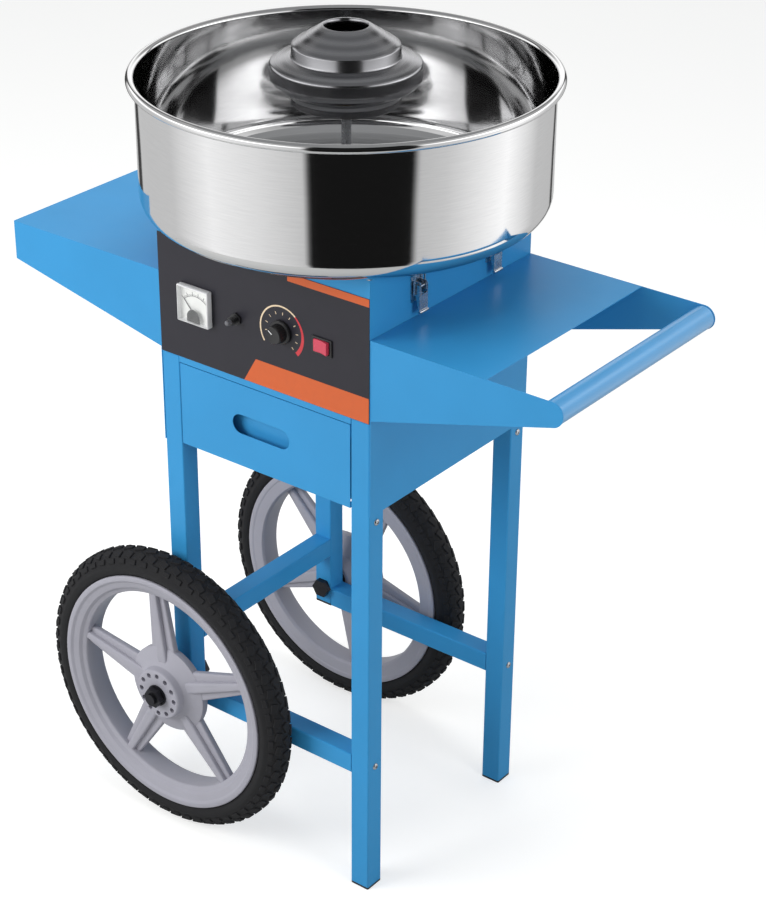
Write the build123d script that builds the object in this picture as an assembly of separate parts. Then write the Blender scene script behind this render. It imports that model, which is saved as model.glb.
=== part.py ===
from build123d import *
import math
import os

# Cotton candy machine on a two-wheeled vending cart, in millimetres.
# +Z is up, -Y is the control-panel side, +X is the push-handle side.
# The origin is on the floor, under the middle of the outer box.
# One STEP file is written for each piece.

# ---------------------------------------------------------------- driving sizes

BODY_W = 328.8            # cart box, outer width in X
BODY_D = 324.6            # cart box, outer depth in Y
BOX_BOTTOM = 560.0        # lower edge of the cart box
BOX_TOP = 685.0           # top of the cart, where the machine stands
DECK_Z = 868.0            # top of the machine's deck, where the bowl sits
SHEET = 1.2               # painted steel sheet
MACHINE_GAP = 0.4         # machine to cart side panel, each side

TUBE = 28.0               # square leg and brace tube
TUBE_WALL = 1.5
TUBE_CORNER = 2.0
CAP_T = 3.0               # plastic end cap under each leg
CAP_PLUG = 14.0
CAP_FIT = 0.15            # cap plug to tube, each side
BRACE_Z = 190.0           # centre height of the side braces
CROSS_BRACE_Z = 272.0     # centre height of the brace between the wheel legs

WHEEL_R = 203.0
TYRE_W = 44.0
RIM_R = 170.0             # rim flange, outer
SEAT_R = 160.0            # where the tyre sits on the rim
RIM_BORE_R = 143.0        # open space inside the rim
RIM_W = 44.0
RIM_FLANGE = 4.0
HUB_R = 36.0
HUB_W = 50.0
SPOKE_COUNT = 5
SPOKE_T = 16.0
SPOKE_ROOT_W = 40.0
SPOKE_TIP_W = 26.0
SPOKE_START_DEG = {"front": 24.0, "rear": 10.0}
AXLE_R = 8.0
AXLE_RUN = 0.06           # running clearance on the axle, radial
AXLE_Z = WHEEL_R          # the wheels stand on the floor
HUB_END_GAP = 0.4
WASHER_R = 15.0
WASHER_T = 2.0
NUT_AF = 24.0             # across flats
NUT_H = 9.0
BOLT_HEAD_H = 8.0
AXLE_TAIL = 4.0
LEG_SCREW_DROP = 12.0     # leg screw below the cart box
PANEL_SCREW_INSET = 20.0  # panel screws from the box's lower and upper edges

SHELF_Z = 792.5           # top of both side shelves
SHELF_D = 324.0
SHELF_FLANGE = 40.0       # folded flange that screws to the side panel
SHELF_SCREW_DROP = 28.0   # flange screws below the shelf
SHELF_SCREW_INSET = 30.0
RIGHT_SHELF_L = 160.6
HANDLE_REACH = 412.0      # handle centre from the body centre
HANDLE_R = 14.75
HANDLE_WALL = 1.5
HANDLE_PLUG = 12.0        # solid end of the tube
TIP_R = 15.5              # rounded end of the aprons round the handle
APRON_ROOT = 103.5        # apron depth at the body
LEFT_REACH = 414.0        # left shelf end from the body centre
LEFT_TIP_DEPTH = 52.0

DRAWER_SIDE_GAP = 1.0
DRAWER_FRONT_LOW = 563.0
DRAWER_FRONT_TOP = 675.0
DRAWER_LIP = 12.0
SLOT_X = -4.5
SLOT_Z = 621.0
SLOT_W = 90.0
SLOT_H = 26.0
RAIL_T = 1.5
RAIL_LIP = 12.0
TRAY_T = 1.0
TRAY_DEPTH = 290.0
TRAY_H = 80.0
RAIL_SETBACK = 6.0        # rail ends from the legs' outer faces, front and rear
RAIL_END_GAP = 2.0
RAIL_Z = 572.0            # underside of the drawer rails
SLIDE_GAP = 0.5

BOWL_R = 250.0            # outer radius of the bowl's wall
BOWL_RIM_R = 260.0
BOWL_TOP = 1038.5
BOWL_T = 1.0
BOWL_CORNER = 27.0
BOWL_HOLE_R = 98.0
BOWL_COLLAR = 16.0
BEAD_R = 5.5

HEAD_R = 91.0             # widest ring of the spinning floss head
HEAD_RING_Z = 1018.0
HEAD_RING_H = 26.0
HEAD_FOOT_R = 66.0
HEAD_FOOT_Z = 999.0
HEAD_CAP_R = 65.0
HEAD_CAP_Z = 1070.0
HEAD_TOP_Z = 1092.0
SUGAR_R = 26.0
BAND_R = 80.0             # ribbon heating element inside the ring
BAND_T = 1.5
SHAFT_R = 6.0
SHAFT_RUN = 0.06

LATCH_Y = 75.0            # latch centre lines from the middle
LATCH_DROP = 35.0         # lever pin below the deck
LATCH_PIN_U = 8.0         # pin centre, out from the machine's side
LATCH_PIN_R = 1.5
LATCH_RUN = 0.06
LOOP_R = 1.2
LOOP_DROP = 9.0           # loop pivot below the lever pivot
LOOP_INSET = 3.0          # loop pivot inboard of the lever pivot
LOOP_L = 36.0
LOOP_HALF = 10.0
LOOP_END = 6.9            # where the loop's in-turned ends stop
LATCH_PLATE_T = 1.5
LATCH_PLATE_HALF = 11.0
LATCH_PLATE_DROP = 20.0   # back plate below and above the pin
LATCH_PLATE_RISE = 12.0
EAR_T = 1.2
EAR_OUT = 6.2             # outer face of each ear from the latch's centre line
EAR_HALF = 6.0
CHEEK_OUT = 8.2           # outer face of each lever cheek
LEVER_L = 31.0            # lever below its pin
LEVER_HALF = 3.2
LEVER_LIP_R = 2.0
HOOK_T = 1.5
HOOK_HALF = 7.0
HOOK_FLANGE = 14.0
HOOK_GAP = 0.9            # hook foot below the loop's bar

VENT_W = 60.0             # slots in the rear wall, in two columns
VENT_H = 4.0
VENT_X = 60.0             # column centres from the middle
VENT_ROWS = 6
VENT_PITCH = 14.0
VENT_LOW = 70.0           # lowest slot above the cart's top
FLOOR_SLOT_L = 100.0      # slots in the machine's floor
FLOOR_SLOT_W = 5.0
FLOOR_SLOT_ROWS = 5
FLOOR_SLOT_PITCH = 16.0
FLOOR_SLOT_Y = 60.0
DECK_RING_R = 60.0        # raised ring round the shaft hole
DECK_RING_T = 3.0
DECK_RING_H = 12.0
DECK_HOLE_R = 30.0
GLAND_X = 110.0
GLAND_RISE = 35.0         # above the cart's top
GLAND_R = 12.0
GLAND_COLLAR_L = 6.0
GLAND_NECK_R = 8.0
GLAND_OUT = 14.0          # neck outside and inside the rear wall
GLAND_IN = 10.0
GLAND_BORE_R = 4.0

PANEL_T = 0.8             # printed control panel overlay
PANEL_H = 159.0
METER_X = -101.5
METER_Z = 763.5
METER_W = 50.0
METER_H = 48.0
METER_PROUD = 9.0
METER_WALL = 1.6
METER_BARREL_R = 19.0
METER_BARREL_L = 30.0
METER_DIAL_LIFT = 2.0     # dial in front of the panel
METER_PIVOT_RISE = 9.0    # needle pivot above the case's lower edge
METER_PIN_R = 1.0
METER_PIN_L = 2.4
METER_LENS_T = 1.5
METER_REST_DEG = 132.0    # needle at rest, counted up from +X
NEEDLE_L = 27.0
NEEDLE_HUB_R = 3.0
NEEDLE_HUB_L = 1.2
NEEDLE_HALF = 0.5
NEEDLE_T = 0.6
BREAKER_X = -38.0
BREAKER_Z = 763.0
BREAKER_R = 5.5
BREAKER_PROUD = 12.0
BUTTON_R = 3.2
BUTTON_PROUD = 7.0
BUTTON_WELL = 4.0         # bore depth behind the panel
BREAKER_CASE = (12.0, 26.0, 9.0)      # half width, depth, half height
KNOB_X = 32.0
KNOB_Z = 766.0
KNOB_R = 15.0
KNOB_H = 15.0
KNOB_LIFT = 1.0
KNOB_SKIRT = 3.0          # skirt thickness, and its step in radius
KNOB_FLUTES = 12
FLUTE_R = 1.8
FLUTE_INSET = 2.4
STEM_R = 3.0
STEM_L = 14.0             # stem behind the shell's front
STEM_RUN = 0.06
CONTROL_R = 16.0          # rotary control behind the panel
CONTROL_L = 20.0
ROCKER_X = 94.0
ROCKER_Z = 765.5
ROCKER_W = 23.0
ROCKER_H = 16.0
BEZEL_W = 30.0
BEZEL_H = 22.0
BEZEL_T = 2.0
ROCKER_GAP = 0.5
ROCKER_TILT_DEG = 7.0     # each way from level
ROCKER_PROUD = 1.6        # rocker in front of the bezel at its middle
ROCKER_BACK = 1.5         # rocker behind the panel's face
SWITCH_CASE_L = 22.0
SWITCH_WALL = 1.4
SWITCH_WELL = 8.0

MOTOR_R = 45.0
MOTOR_H = 92.0
MOTOR_PLATE_T = 3.0
MOTOR_PLATE_W = 150.0
MOUNT_R = 9.0
MOUNT_H = 18.0
MOUNT_SPACING = 120.0
RING_R = 20.0             # slip rings
RING_H = 8.0
RING_Z = (818.0, 834.0)
BRUSH_GAP = 0.3
BRUSH_L = 20.0
BRUSH_HALF = 5.0
HOLDER_SETBACK = 8.0      # brush holder's arm from the slip rings
HOLDER_ARM_L = 24.0
HOLDER_ARM_HALF = 10.0
HOLDER_POST_T = 12.0
HOLDER_POST_HALF = 14.0
HOLDER_MARGIN = 4.0       # above the upper ring and below the lower one
MOTOR_NOSE_R = 15.0
MOTOR_NOSE_H = 4.0
MOTOR_BORE_L = 25.0
SHAFT_IN = 24.0           # shaft inside the motor
SHAFT_TOP = 26.0          # shaft end above the ring's lower edge
SCREW_R = 2.0             # pan head screws: shank, head
SCREW_HEAD_R = 4.5
SCREW_HEAD_T = 2.4
SCREW_L = 8.0
SCREW_RUN = 0.05

# ---------------------------------------------------------------- worked out from the sizes

RIGHT_REACH = HANDLE_REACH + TIP_R
BX = (LEFT_REACH - RIGHT_REACH) / 2          # body centre in X, so that the outer box is centred
HALF_W = BODY_W / 2
HALF_D = BODY_D / 2
PANEL_IN = HALF_W - SHEET                    # inner face of a side panel
LEG_X = PANEL_IN - TUBE / 2                  # leg centres from the body centre
LEG_FRONT_Y = -(HALF_D - TUBE / 2)
LEG_REAR_Y = HALF_D - SHEET - TUBE / 2
LEG_GAP = LEG_X - TUBE / 2                   # inner face of a leg
LEG_TOP = BOX_TOP - SHEET
LEFT_LEG_LOW = BRACE_Z - TUBE / 2
MACHINE_HALF = PANEL_IN - MACHINE_GAP
PANEL_FRONT = -HALF_D - PANEL_T              # face of the printed panel
SHELF_HALF = SHELF_D / 2
HANDLE_Z = SHELF_Z - TIP_R
RAIL_HEIGHT = TRAY_H + 2 * RAIL_T + 2 * SLIDE_GAP
WHEEL_Y = HALF_D + WASHER_T + HUB_END_GAP + HUB_W / 2
HUB_IN = WHEEL_Y - HUB_W / 2
HUB_OUT = WHEEL_Y + HUB_W / 2
AXLE_END = HUB_OUT + HUB_END_GAP + WASHER_T + NUT_H + AXLE_TAIL
MOTOR_PLATE_Z = BOX_TOP + SHEET + MOUNT_H
MOTOR_Z = MOTOR_PLATE_Z + MOTOR_PLATE_T
LATCH_PIN_Z = DECK_Z - LATCH_DROP
GLAND_Z = BOX_TOP + GLAND_RISE
METER_DIAL_Y = PANEL_FRONT - METER_DIAL_LIFT
METER_PIVOT_Z = METER_Z - METER_H / 2 + METER_PIVOT_RISE


# ---------------------------------------------------------------- small makers

def block(x0, x1, y0, y1, z0, z1):
    """A box between two corners."""
    size = Box(x1 - x0, y1 - y0, z1 - z0)
    return Pos((x0 + x1) / 2, (y0 + y1) / 2, (z0 + z1) / 2) * size


def rod_z(x, y, z0, z1, r):
    return Pos(x, y, (z0 + z1) / 2) * Cylinder(r, z1 - z0)


def rod_y(x, z, y0, y1, r):
    return Pos(x, (y0 + y1) / 2, z) * Rot(90, 0, 0) * Cylinder(r, y1 - y0)


def rod_x(y, z, x0, x1, r):
    return Pos((x0 + x1) / 2, y, z) * Rot(0, 90, 0) * Cylinder(r, x1 - x0)


def fuse(pieces):
    """Join a list of solids into one."""
    whole = pieces[0]
    for piece in pieces[1:]:
        whole = whole + piece
    return whole


def cut_all(solid, cutters):
    for cutter in cutters:
        solid = solid - cutter
    return solid


def ring_z(z0, z1, r_out, r_in):
    """A tube about the bowl's own axis."""
    return rod_z(BX, 0, z0, z1, r_out) - rod_z(BX, 0, z0 - 1, z1 + 1, r_in)


def save(name, solid):
    export_step(solid, os.path.join("parts", name + ".step"))


def save_group(name, solids):
    """One file that holds several separate solids."""
    flat = []
    for item in solids:
        flat.extend(item.solids())
    export_step(Compound(children=flat), os.path.join("parts", name + ".step"))


def square_tube(length):
    """A square tube along Z, standing on Z = 0, with rounded long edges."""
    outer = extrude(RectangleRounded(TUBE, TUBE, TUBE_CORNER), length)
    bore = TUBE - 2 * TUBE_WALL
    inner = extrude(Rectangle(bore, bore), length)
    return outer - inner


# ---------------------------------------------------------------- screws

def screw_sites():
    """Every screw: a point on the face it clamps, and the way its head points (X or Y, and sign)."""
    sites = []
    leg_face = BX + PANEL_IN
    for leg_y in (LEG_FRONT_Y, LEG_REAR_Y):
        sites.append((leg_face, leg_y, BRACE_Z, "x", 1))
        sites.append((leg_face, leg_y, BOX_BOTTOM - LEG_SCREW_DROP, "x", 1))
    for side in (-1, 1):
        sites.append((BX + side * HALF_W, LEG_REAR_Y, BOX_TOP - PANEL_SCREW_INSET, "x", side))
        for z in (BOX_BOTTOM + PANEL_SCREW_INSET, BOX_TOP - PANEL_SCREW_INSET):
            sites.append((BX + side * LEG_X, HALF_D, z, "y", 1))
    return sites


def shelf_screw_sites():
    sites = []
    for side in (-1, 1):
        for y in (-SHELF_HALF + SHELF_SCREW_INSET, 0, SHELF_HALF - SHELF_SCREW_INSET):
            sites.append((BX + side * (HALF_W + SHEET), y, SHELF_Z - SHELF_SCREW_DROP, "x", side))
    return sites


def cylinder_at(site, start, end, r):
    """A rod along the screw's axis, from start to end, counted outward from the clamped face."""
    x, y, z, axis, sign = site
    low = min(sign * start, sign * end)
    high = max(sign * start, sign * end)
    if axis == "x":
        return rod_x(y, z, x + low, x + high, r)
    return rod_y(x, z, y + low, y + high, r)


def pan_screw(site):
    return cylinder_at(site, 0, SCREW_HEAD_T, SCREW_HEAD_R) + cylinder_at(site, -SCREW_L, 0, SCREW_R)


def screw_hole(site):
    return cylinder_at(site, -SCREW_L - 1, SCREW_HEAD_T, SCREW_R + SCREW_RUN)


FRAME_SITES = screw_sites()
SHELF_SITES = shelf_screw_sites()


def drill(solid, sites):
    """Cut the screws' clearance holes that reach this solid."""
    box = solid.bounding_box()
    for site in sites:
        inside_x = box.min.X - SCREW_L < site[0] < box.max.X + SCREW_L
        inside_y = box.min.Y - SCREW_L < site[1] < box.max.Y + SCREW_L
        inside_z = box.min.Z - SCREW_L < site[2] < box.max.Z + SCREW_L
        if inside_x and inside_y and inside_z:
            solid = solid - screw_hole(site)
    return solid


# ---------------------------------------------------------------- cart frame

def leg(side, y, low):
    x = BX + side * LEG_X
    solid = Pos(x, y, low + CAP_T) * square_tube(LEG_TOP - low - CAP_T)
    if side < 0:
        solid = solid - rod_y(x, AXLE_Z, y - TUBE, y + TUBE, AXLE_R)
    return drill(solid, FRAME_SITES)


def leg_end_cap(side, y, low):
    x = BX + side * LEG_X
    plug = TUBE - 2 * TUBE_WALL - 2 * CAP_FIT
    plate = Pos(x, y, low) * extrude(RectangleRounded(TUBE, TUBE, TUBE_CORNER), CAP_T)
    stem_top = low + CAP_T + min(CAP_PLUG, TUBE / 2)
    if side < 0:
        stem_top = min(stem_top, AXLE_Z - AXLE_R - 1)
    return plate + block(x - plug / 2, x + plug / 2, y - plug / 2, y + plug / 2, low + CAP_T, stem_top)


def side_brace(y):
    start = BX - LEG_GAP
    end = BX + LEG_GAP
    tube = square_tube(end - start)
    return Pos(start, y, BRACE_Z) * Rot(0, 90, 0) * tube


def cross_brace():
    start = LEG_FRONT_Y + TUBE / 2
    end = LEG_REAR_Y - TUBE / 2
    return Pos(BX - LEG_X, end, CROSS_BRACE_Z) * Rot(90, 0, 0) * square_tube(end - start)


def hex_prism(side, start, height, across_flats):
    """A hexagonal block on the axle line, from start outward from the cart."""
    shape = extrude(RegularPolygon(across_flats / 2, 6, major_radius=False), height)
    return Pos(BX - LEG_X, side * start, AXLE_Z) * Rot(-90 * side, 0, 0) * shape


def axle_bolt(side, leg_y):
    """A stub axle: its head bears on the inner face of the leg, its shank carries one wheel."""
    inner = abs(leg_y) - TUBE / 2
    head = hex_prism(side, inner - BOLT_HEAD_H, BOLT_HEAD_H, NUT_AF)
    ends = sorted((side * inner, side * AXLE_END))
    return head + rod_y(BX - LEG_X, AXLE_Z, ends[0], ends[1], AXLE_R)


def axle_nut(side):
    start = HUB_OUT + HUB_END_GAP + WASHER_T
    thread = rod_y(BX - LEG_X, AXLE_Z, -AXLE_END - 1, AXLE_END + 1, AXLE_R)
    return hex_prism(side, start, NUT_H, NUT_AF) - thread


def axle_washer(y0, y1):
    x = BX - LEG_X
    return rod_y(x, AXLE_Z, y0, y1, WASHER_R) - rod_y(x, AXLE_Z, y0 - 1, y1 + 1, AXLE_R)


def axle_washers():
    """A spacer inside and a washer outside each wheel."""
    inner_end = HUB_IN - HUB_END_GAP
    outer_start = HUB_OUT + HUB_END_GAP
    return [
        axle_washer(-inner_end, LEG_FRONT_Y - TUBE / 2),
        axle_washer(LEG_REAR_Y + TUBE / 2, inner_end),
        axle_washer(-outer_start - WASHER_T, -outer_start),
        axle_washer(outer_start, outer_start + WASHER_T),
    ]


# ---------------------------------------------------------------- wheels

def wheel_place(side):
    """Local Z is the wheel's axis and points away from the cart."""
    return Pos(BX - LEG_X, side * WHEEL_Y, AXLE_Z) * Rot(-90 * side, 0, 0)


def turned(points):
    """A solid of revolution about local Z from (radius, height) points."""
    face = make_face(Polyline([(r, 0, h) for r, h in points], close=True))
    return revolve(face, Axis.Z)


def rim(start_deg):
    """A moulded wheel: a flanged barrel, a hub and tapered spokes."""
    half = RIM_W / 2
    barrel = turned([
        (RIM_BORE_R, -half),
        (RIM_R, -half),
        (RIM_R, -half + RIM_FLANGE),
        (SEAT_R, -half + RIM_FLANGE),
        (SEAT_R, half - RIM_FLANGE),
        (RIM_R, half - RIM_FLANGE),
        (RIM_R, half),
        (RIM_BORE_R, half),
    ])
    hub = Cylinder(HUB_R, HUB_W)
    root = SPOKE_ROOT_W / 2
    tip = SPOKE_TIP_W / 2
    reach = RIM_BORE_R + 2
    outline = make_face(Polyline([(0, -root), (reach, -tip), (reach, tip), (0, root)], close=True))
    spoke = Pos(0, 0, -SPOKE_T / 2) * extrude(outline, SPOKE_T)
    solid = barrel + hub
    for k in range(SPOKE_COUNT):
        solid = solid + Rot(0, 0, start_deg + 360 / SPOKE_COUNT * k) * spoke
    return solid - Cylinder(AXLE_R + AXLE_RUN, HUB_W + 2)


def tyre():
    """Bead between the rim's flanges, then short sidewalls and a half-round tread."""
    seat = RIM_W / 2 - RIM_FLANGE
    half = TYRE_W / 2
    flank_r = WHEEL_R - half
    tread = ThreePointArc((flank_r, 0, -half), (WHEEL_R, 0, 0), (flank_r, 0, half))
    bead = Polyline([
        (flank_r, 0, half),
        (RIM_R, 0, seat),
        (SEAT_R, 0, seat),
        (SEAT_R, 0, -seat),
        (RIM_R, 0, -seat),
        (flank_r, 0, -half),
    ])
    return revolve(make_face(tread + bead), Axis.Z)


# ---------------------------------------------------------------- cart box

def side_panel(side):
    low = BX + min(side * PANEL_IN, side * HALF_W)
    solid = block(low, low + SHEET, -HALF_D, HALF_D, BOX_BOTTOM, SHELF_Z)
    return drill(drill(solid, FRAME_SITES), SHELF_SITES)


def rear_panel():
    solid = block(BX - PANEL_IN, BX + PANEL_IN, HALF_D - SHEET, HALF_D, BOX_BOTTOM, LEG_TOP)
    return drill(solid, FRAME_SITES)


def cart_top():
    plate = block(BX - PANEL_IN, BX + PANEL_IN, -HALF_D, HALF_D, LEG_TOP, BOX_TOP)
    lip_low = DRAWER_FRONT_TOP + DRAWER_SIDE_GAP
    lip = block(BX - LEG_GAP, BX + LEG_GAP, -HALF_D, -HALF_D + SHEET, lip_low, LEG_TOP)
    return plate + lip


def drawer_rail(side):
    """A channel, open towards the drawer, fixed to the inner faces of the legs."""
    wall_in = LEG_GAP - RAIL_T
    lip_in = LEG_GAP - RAIL_LIP
    y0 = LEG_FRONT_Y - TUBE / 2 + RAIL_SETBACK
    y1 = LEG_REAR_Y + TUBE / 2 - RAIL_END_GAP
    x_out = BX + side * LEG_GAP
    x_wall = BX + side * wall_in
    x_lip = BX + side * lip_in
    wall = block(min(x_out, x_wall), max(x_out, x_wall), y0, y1, RAIL_Z, RAIL_Z + RAIL_HEIGHT)
    floor = block(min(x_out, x_lip), max(x_out, x_lip), y0, y1, RAIL_Z, RAIL_Z + RAIL_T)
    roof = Pos(0, 0, RAIL_HEIGHT - RAIL_T) * floor
    return wall + floor + roof


def finger_slot(y0, y1):
    shape = extrude(SlotOverall(SLOT_W, SLOT_H), y1 - y0)
    return Pos(BX + SLOT_X, y1, SLOT_Z) * Rot(90, 0, 0) * shape


def drawer_front():
    half = LEG_GAP - DRAWER_SIDE_GAP
    back = -HALF_D + DRAWER_LIP
    pan = block(BX - half, BX + half, -HALF_D, back, DRAWER_FRONT_LOW, DRAWER_FRONT_TOP)
    hollow = block(
        BX - half + SHEET, BX + half - SHEET, -HALF_D + SHEET, back + 1,
        DRAWER_FRONT_LOW + SHEET, DRAWER_FRONT_TOP - SHEET)
    notch_low = RAIL_Z - 2 * SLIDE_GAP
    notch_high = RAIL_Z + RAIL_HEIGHT + 2 * SLIDE_GAP
    notch = block(BX - half - 1, BX + half + 1, -HALF_D + SHEET, back + 1, notch_low, notch_high)
    return pan - hollow - notch - finger_slot(-HALF_D - 5, -HALF_D + 5)


def drawer_tray():
    """An open box behind the drawer front; its front wall is the back of the finger recess."""
    half = LEG_GAP - RAIL_T - SLIDE_GAP
    y0 = -HALF_D + SHEET
    y1 = y0 + TRAY_DEPTH
    z0 = RAIL_Z + RAIL_T + SLIDE_GAP
    z1 = z0 + TRAY_H
    wall_y = -HALF_D + DRAWER_LIP
    floor = block(BX - half, BX + half, y0, y1, z0, z0 + TRAY_T)
    lip = block(BX - half, BX + half, y0, y0 + TRAY_T, z0, z0 + DRAWER_LIP)
    outer = block(BX - half, BX + half, wall_y, y1, z0, z1)
    hollow = block(BX - half + TRAY_T, BX + half - TRAY_T, wall_y + TRAY_T, y1 - TRAY_T, z0 + TRAY_T, z1 + 1)
    return outer - hollow + floor + lip


# ---------------------------------------------------------------- shelves and handle

def apron(points, y0, y1):
    """A flat side plate from its (x, z) outline."""
    face = make_face(Polyline([(x, y0, z) for x, z in points], close=True))
    return extrude(face, y1 - y0, dir=(0, 1, 0))


def shelf_right():
    root = BX + HALF_W
    tip = BX + HANDLE_REACH
    dx = tip - root
    dz = HANDLE_Z - (SHELF_Z - APRON_ROOT)
    reach = math.hypot(dx, dz)
    slope = math.atan2(dz, dx) - math.asin(TIP_R / reach)
    run = math.sqrt(reach ** 2 - TIP_R ** 2)
    touch = (root + run * math.cos(slope), SHELF_Z - APRON_ROOT + run * math.sin(slope))
    outline = [(root, SHELF_Z - APRON_ROOT), touch, (tip, HANDLE_Z), (tip, SHELF_Z), (root, SHELF_Z)]
    pieces = [block(root, root + RIGHT_SHELF_L, -SHELF_HALF, SHELF_HALF, SHELF_Z - SHEET, SHELF_Z)]
    pieces.append(block(root, root + SHEET, -SHELF_HALF, SHELF_HALF, SHELF_Z - SHELF_FLANGE, SHELF_Z))
    for y0 in (-SHELF_HALF, SHELF_HALF - SHEET):
        pieces.append(apron(outline, y0, y0 + SHEET))
        pieces.append(rod_y(tip, HANDLE_Z, y0, y0 + SHEET, TIP_R))
    return drill(fuse(pieces), SHELF_SITES)


def shelf_left():
    root = BX - HALF_W
    tip = BX - LEFT_REACH
    outline = [
        (root, SHELF_Z),
        (root, SHELF_Z - APRON_ROOT),
        (tip, SHELF_Z - LEFT_TIP_DEPTH),
        (tip, SHELF_Z),
    ]
    pieces = [block(tip, root, -SHELF_HALF, SHELF_HALF, SHELF_Z - SHEET, SHELF_Z)]
    pieces.append(block(root - SHEET, root, -SHELF_HALF, SHELF_HALF, SHELF_Z - SHELF_FLANGE, SHELF_Z))
    pieces.append(block(tip, tip + SHEET, -SHELF_HALF, SHELF_HALF, SHELF_Z - LEFT_TIP_DEPTH, SHELF_Z))
    for y0 in (-SHELF_HALF, SHELF_HALF - SHEET):
        pieces.append(apron(outline, y0, y0 + SHEET))
    return drill(fuse(pieces), SHELF_SITES)


def handle_tube():
    """A round tube between the aprons, closed at both ends."""
    half = SHELF_HALF - SHEET
    x = BX + HANDLE_REACH
    tube = rod_y(x, HANDLE_Z, -half, half, HANDLE_R)
    bore = rod_y(x, HANDLE_Z, -half + HANDLE_PLUG, half - HANDLE_PLUG, HANDLE_R - HANDLE_WALL)
    return tube - bore


# ---------------------------------------------------------------- machine body

def machine_front():
    """The front wall, which runs the full width between the cart's side panels."""
    wall = block(BX - MACHINE_HALF, BX + MACHINE_HALF, -HALF_D, -HALF_D + SHEET, BOX_TOP, DECK_Z - SHEET)
    return cut_all(wall, panel_holes())


def machine_side(side):
    """A side wall between the front and rear walls; the shelf's screws go through it."""
    x0, x1 = sorted((BX + side * MACHINE_HALF, BX + side * (MACHINE_HALF - SHEET)))
    wall = block(x0, x1, -HALF_D + SHEET, HALF_D - SHEET, BOX_TOP, DECK_Z - SHEET)
    return drill(wall, SHELF_SITES)


def machine_rear():
    """The rear wall, with two columns of vents and the hole for the cable gland."""
    wall = block(BX - MACHINE_HALF, BX + MACHINE_HALF, HALF_D - SHEET, HALF_D, BOX_TOP, DECK_Z - SHEET)
    for column in (-1, 1):
        for row in range(VENT_ROWS):
            x = BX + column * VENT_X
            z = BOX_TOP + VENT_LOW + row * VENT_PITCH
            slot = block(x - VENT_W / 2, x + VENT_W / 2, HALF_D - 2 * SHEET, HALF_D + 1, z, z + VENT_H)
            wall = wall - slot
    return wall - rod_y(BX + GLAND_X, GLAND_Z, HALF_D - 2 * SHEET, HALF_D + 1, GLAND_NECK_R)


def panel_holes():
    """Holes through the front wall and the printed panel for what sits in them."""
    y0 = PANEL_FRONT - 1
    y1 = -HALF_D + SHEET + 1
    half_w = ROCKER_W / 2 + ROCKER_GAP + SWITCH_WALL + 0.1
    half_h = ROCKER_H / 2 + SWITCH_WALL + 0.1
    return [
        rod_y(BX + METER_X, METER_Z, y0, y1, METER_BARREL_R),
        rod_y(BX + BREAKER_X, BREAKER_Z, y0, y1, BREAKER_R),
        rod_y(BX + KNOB_X, KNOB_Z, y0, y1, STEM_R + 1),
        block(BX + ROCKER_X - half_w, BX + ROCKER_X + half_w, y0, y1, ROCKER_Z - half_h, ROCKER_Z + half_h),
    ]


def top_deck():
    """The deck that carries the bowl, with a raised ring round the shaft hole."""
    plate = block(BX - MACHINE_HALF, BX + MACHINE_HALF, -HALF_D, HALF_D, DECK_Z - SHEET, DECK_Z)
    ring = ring_z(DECK_Z, DECK_Z + DECK_RING_H, DECK_RING_R, DECK_RING_R - DECK_RING_T)
    return plate + ring - rod_z(BX, 0, DECK_Z - 2 * SHEET, DECK_Z + 2 * DECK_RING_H, DECK_HOLE_R)


def base_plate():
    half_x = MACHINE_HALF - SHEET
    half_y = HALF_D - SHEET
    plate = block(BX - half_x, BX + half_x, -half_y, half_y, BOX_TOP, BOX_TOP + SHEET)
    half_slot = FLOOR_SLOT_L / 2
    for row in range(FLOOR_SLOT_ROWS):
        y = FLOOR_SLOT_Y + row * FLOOR_SLOT_PITCH
        slot = block(BX - half_slot, BX + half_slot, y, y + FLOOR_SLOT_W, BOX_TOP - 1, BOX_TOP + 2 * SHEET)
        plate = plate - slot
    return plate


def control_panel():
    """The printed overlay on the machine's front."""
    sheet = block(BX - MACHINE_HALF, BX + MACHINE_HALF, PANEL_FRONT, -HALF_D, BOX_TOP, BOX_TOP + PANEL_H)
    return cut_all(sheet, panel_holes())


def cable_gland():
    """The strain relief collar at the lower back, on the side away from the wheels."""
    x = BX + GLAND_X
    collar = rod_y(x, GLAND_Z, HALF_D, HALF_D + GLAND_COLLAR_L, GLAND_R)
    neck = rod_y(x, GLAND_Z, HALF_D - GLAND_IN, HALF_D + GLAND_OUT, GLAND_NECK_R)
    return collar + neck - rod_y(x, GLAND_Z, HALF_D - GLAND_IN - 1, HALF_D + GLAND_OUT + 1, GLAND_BORE_R)


# ---------------------------------------------------------------- meter

def meter_case():
    """A square front with a shallow dial well, and a round movement housing behind the panel."""
    x = BX + METER_X
    front = PANEL_FRONT - METER_PROUD
    half_w = METER_W / 2
    half_h = METER_H / 2
    head = block(x - half_w, x + half_w, front, PANEL_FRONT, METER_Z - half_h, METER_Z + half_h)
    well = block(
        x - half_w + METER_WALL, x + half_w - METER_WALL, front - 1, METER_DIAL_Y,
        METER_Z - half_h + METER_WALL, METER_Z + half_h - METER_WALL)
    barrel = rod_y(x, METER_Z, PANEL_FRONT, PANEL_FRONT + METER_BARREL_L, METER_BARREL_R - 0.1)
    pin = rod_y(x, METER_PIVOT_Z, METER_DIAL_Y - METER_PIN_L, METER_DIAL_Y, METER_PIN_R)
    return head - well + barrel + pin


def meter_lens():
    """The clear front of the meter, let into its frame."""
    x = BX + METER_X
    front = PANEL_FRONT - METER_PROUD
    half_w = METER_W / 2 - METER_WALL
    half_h = METER_H / 2 - METER_WALL
    return block(x - half_w, x + half_w, front, front + METER_LENS_T, METER_Z - half_h, METER_Z + half_h)


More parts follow.
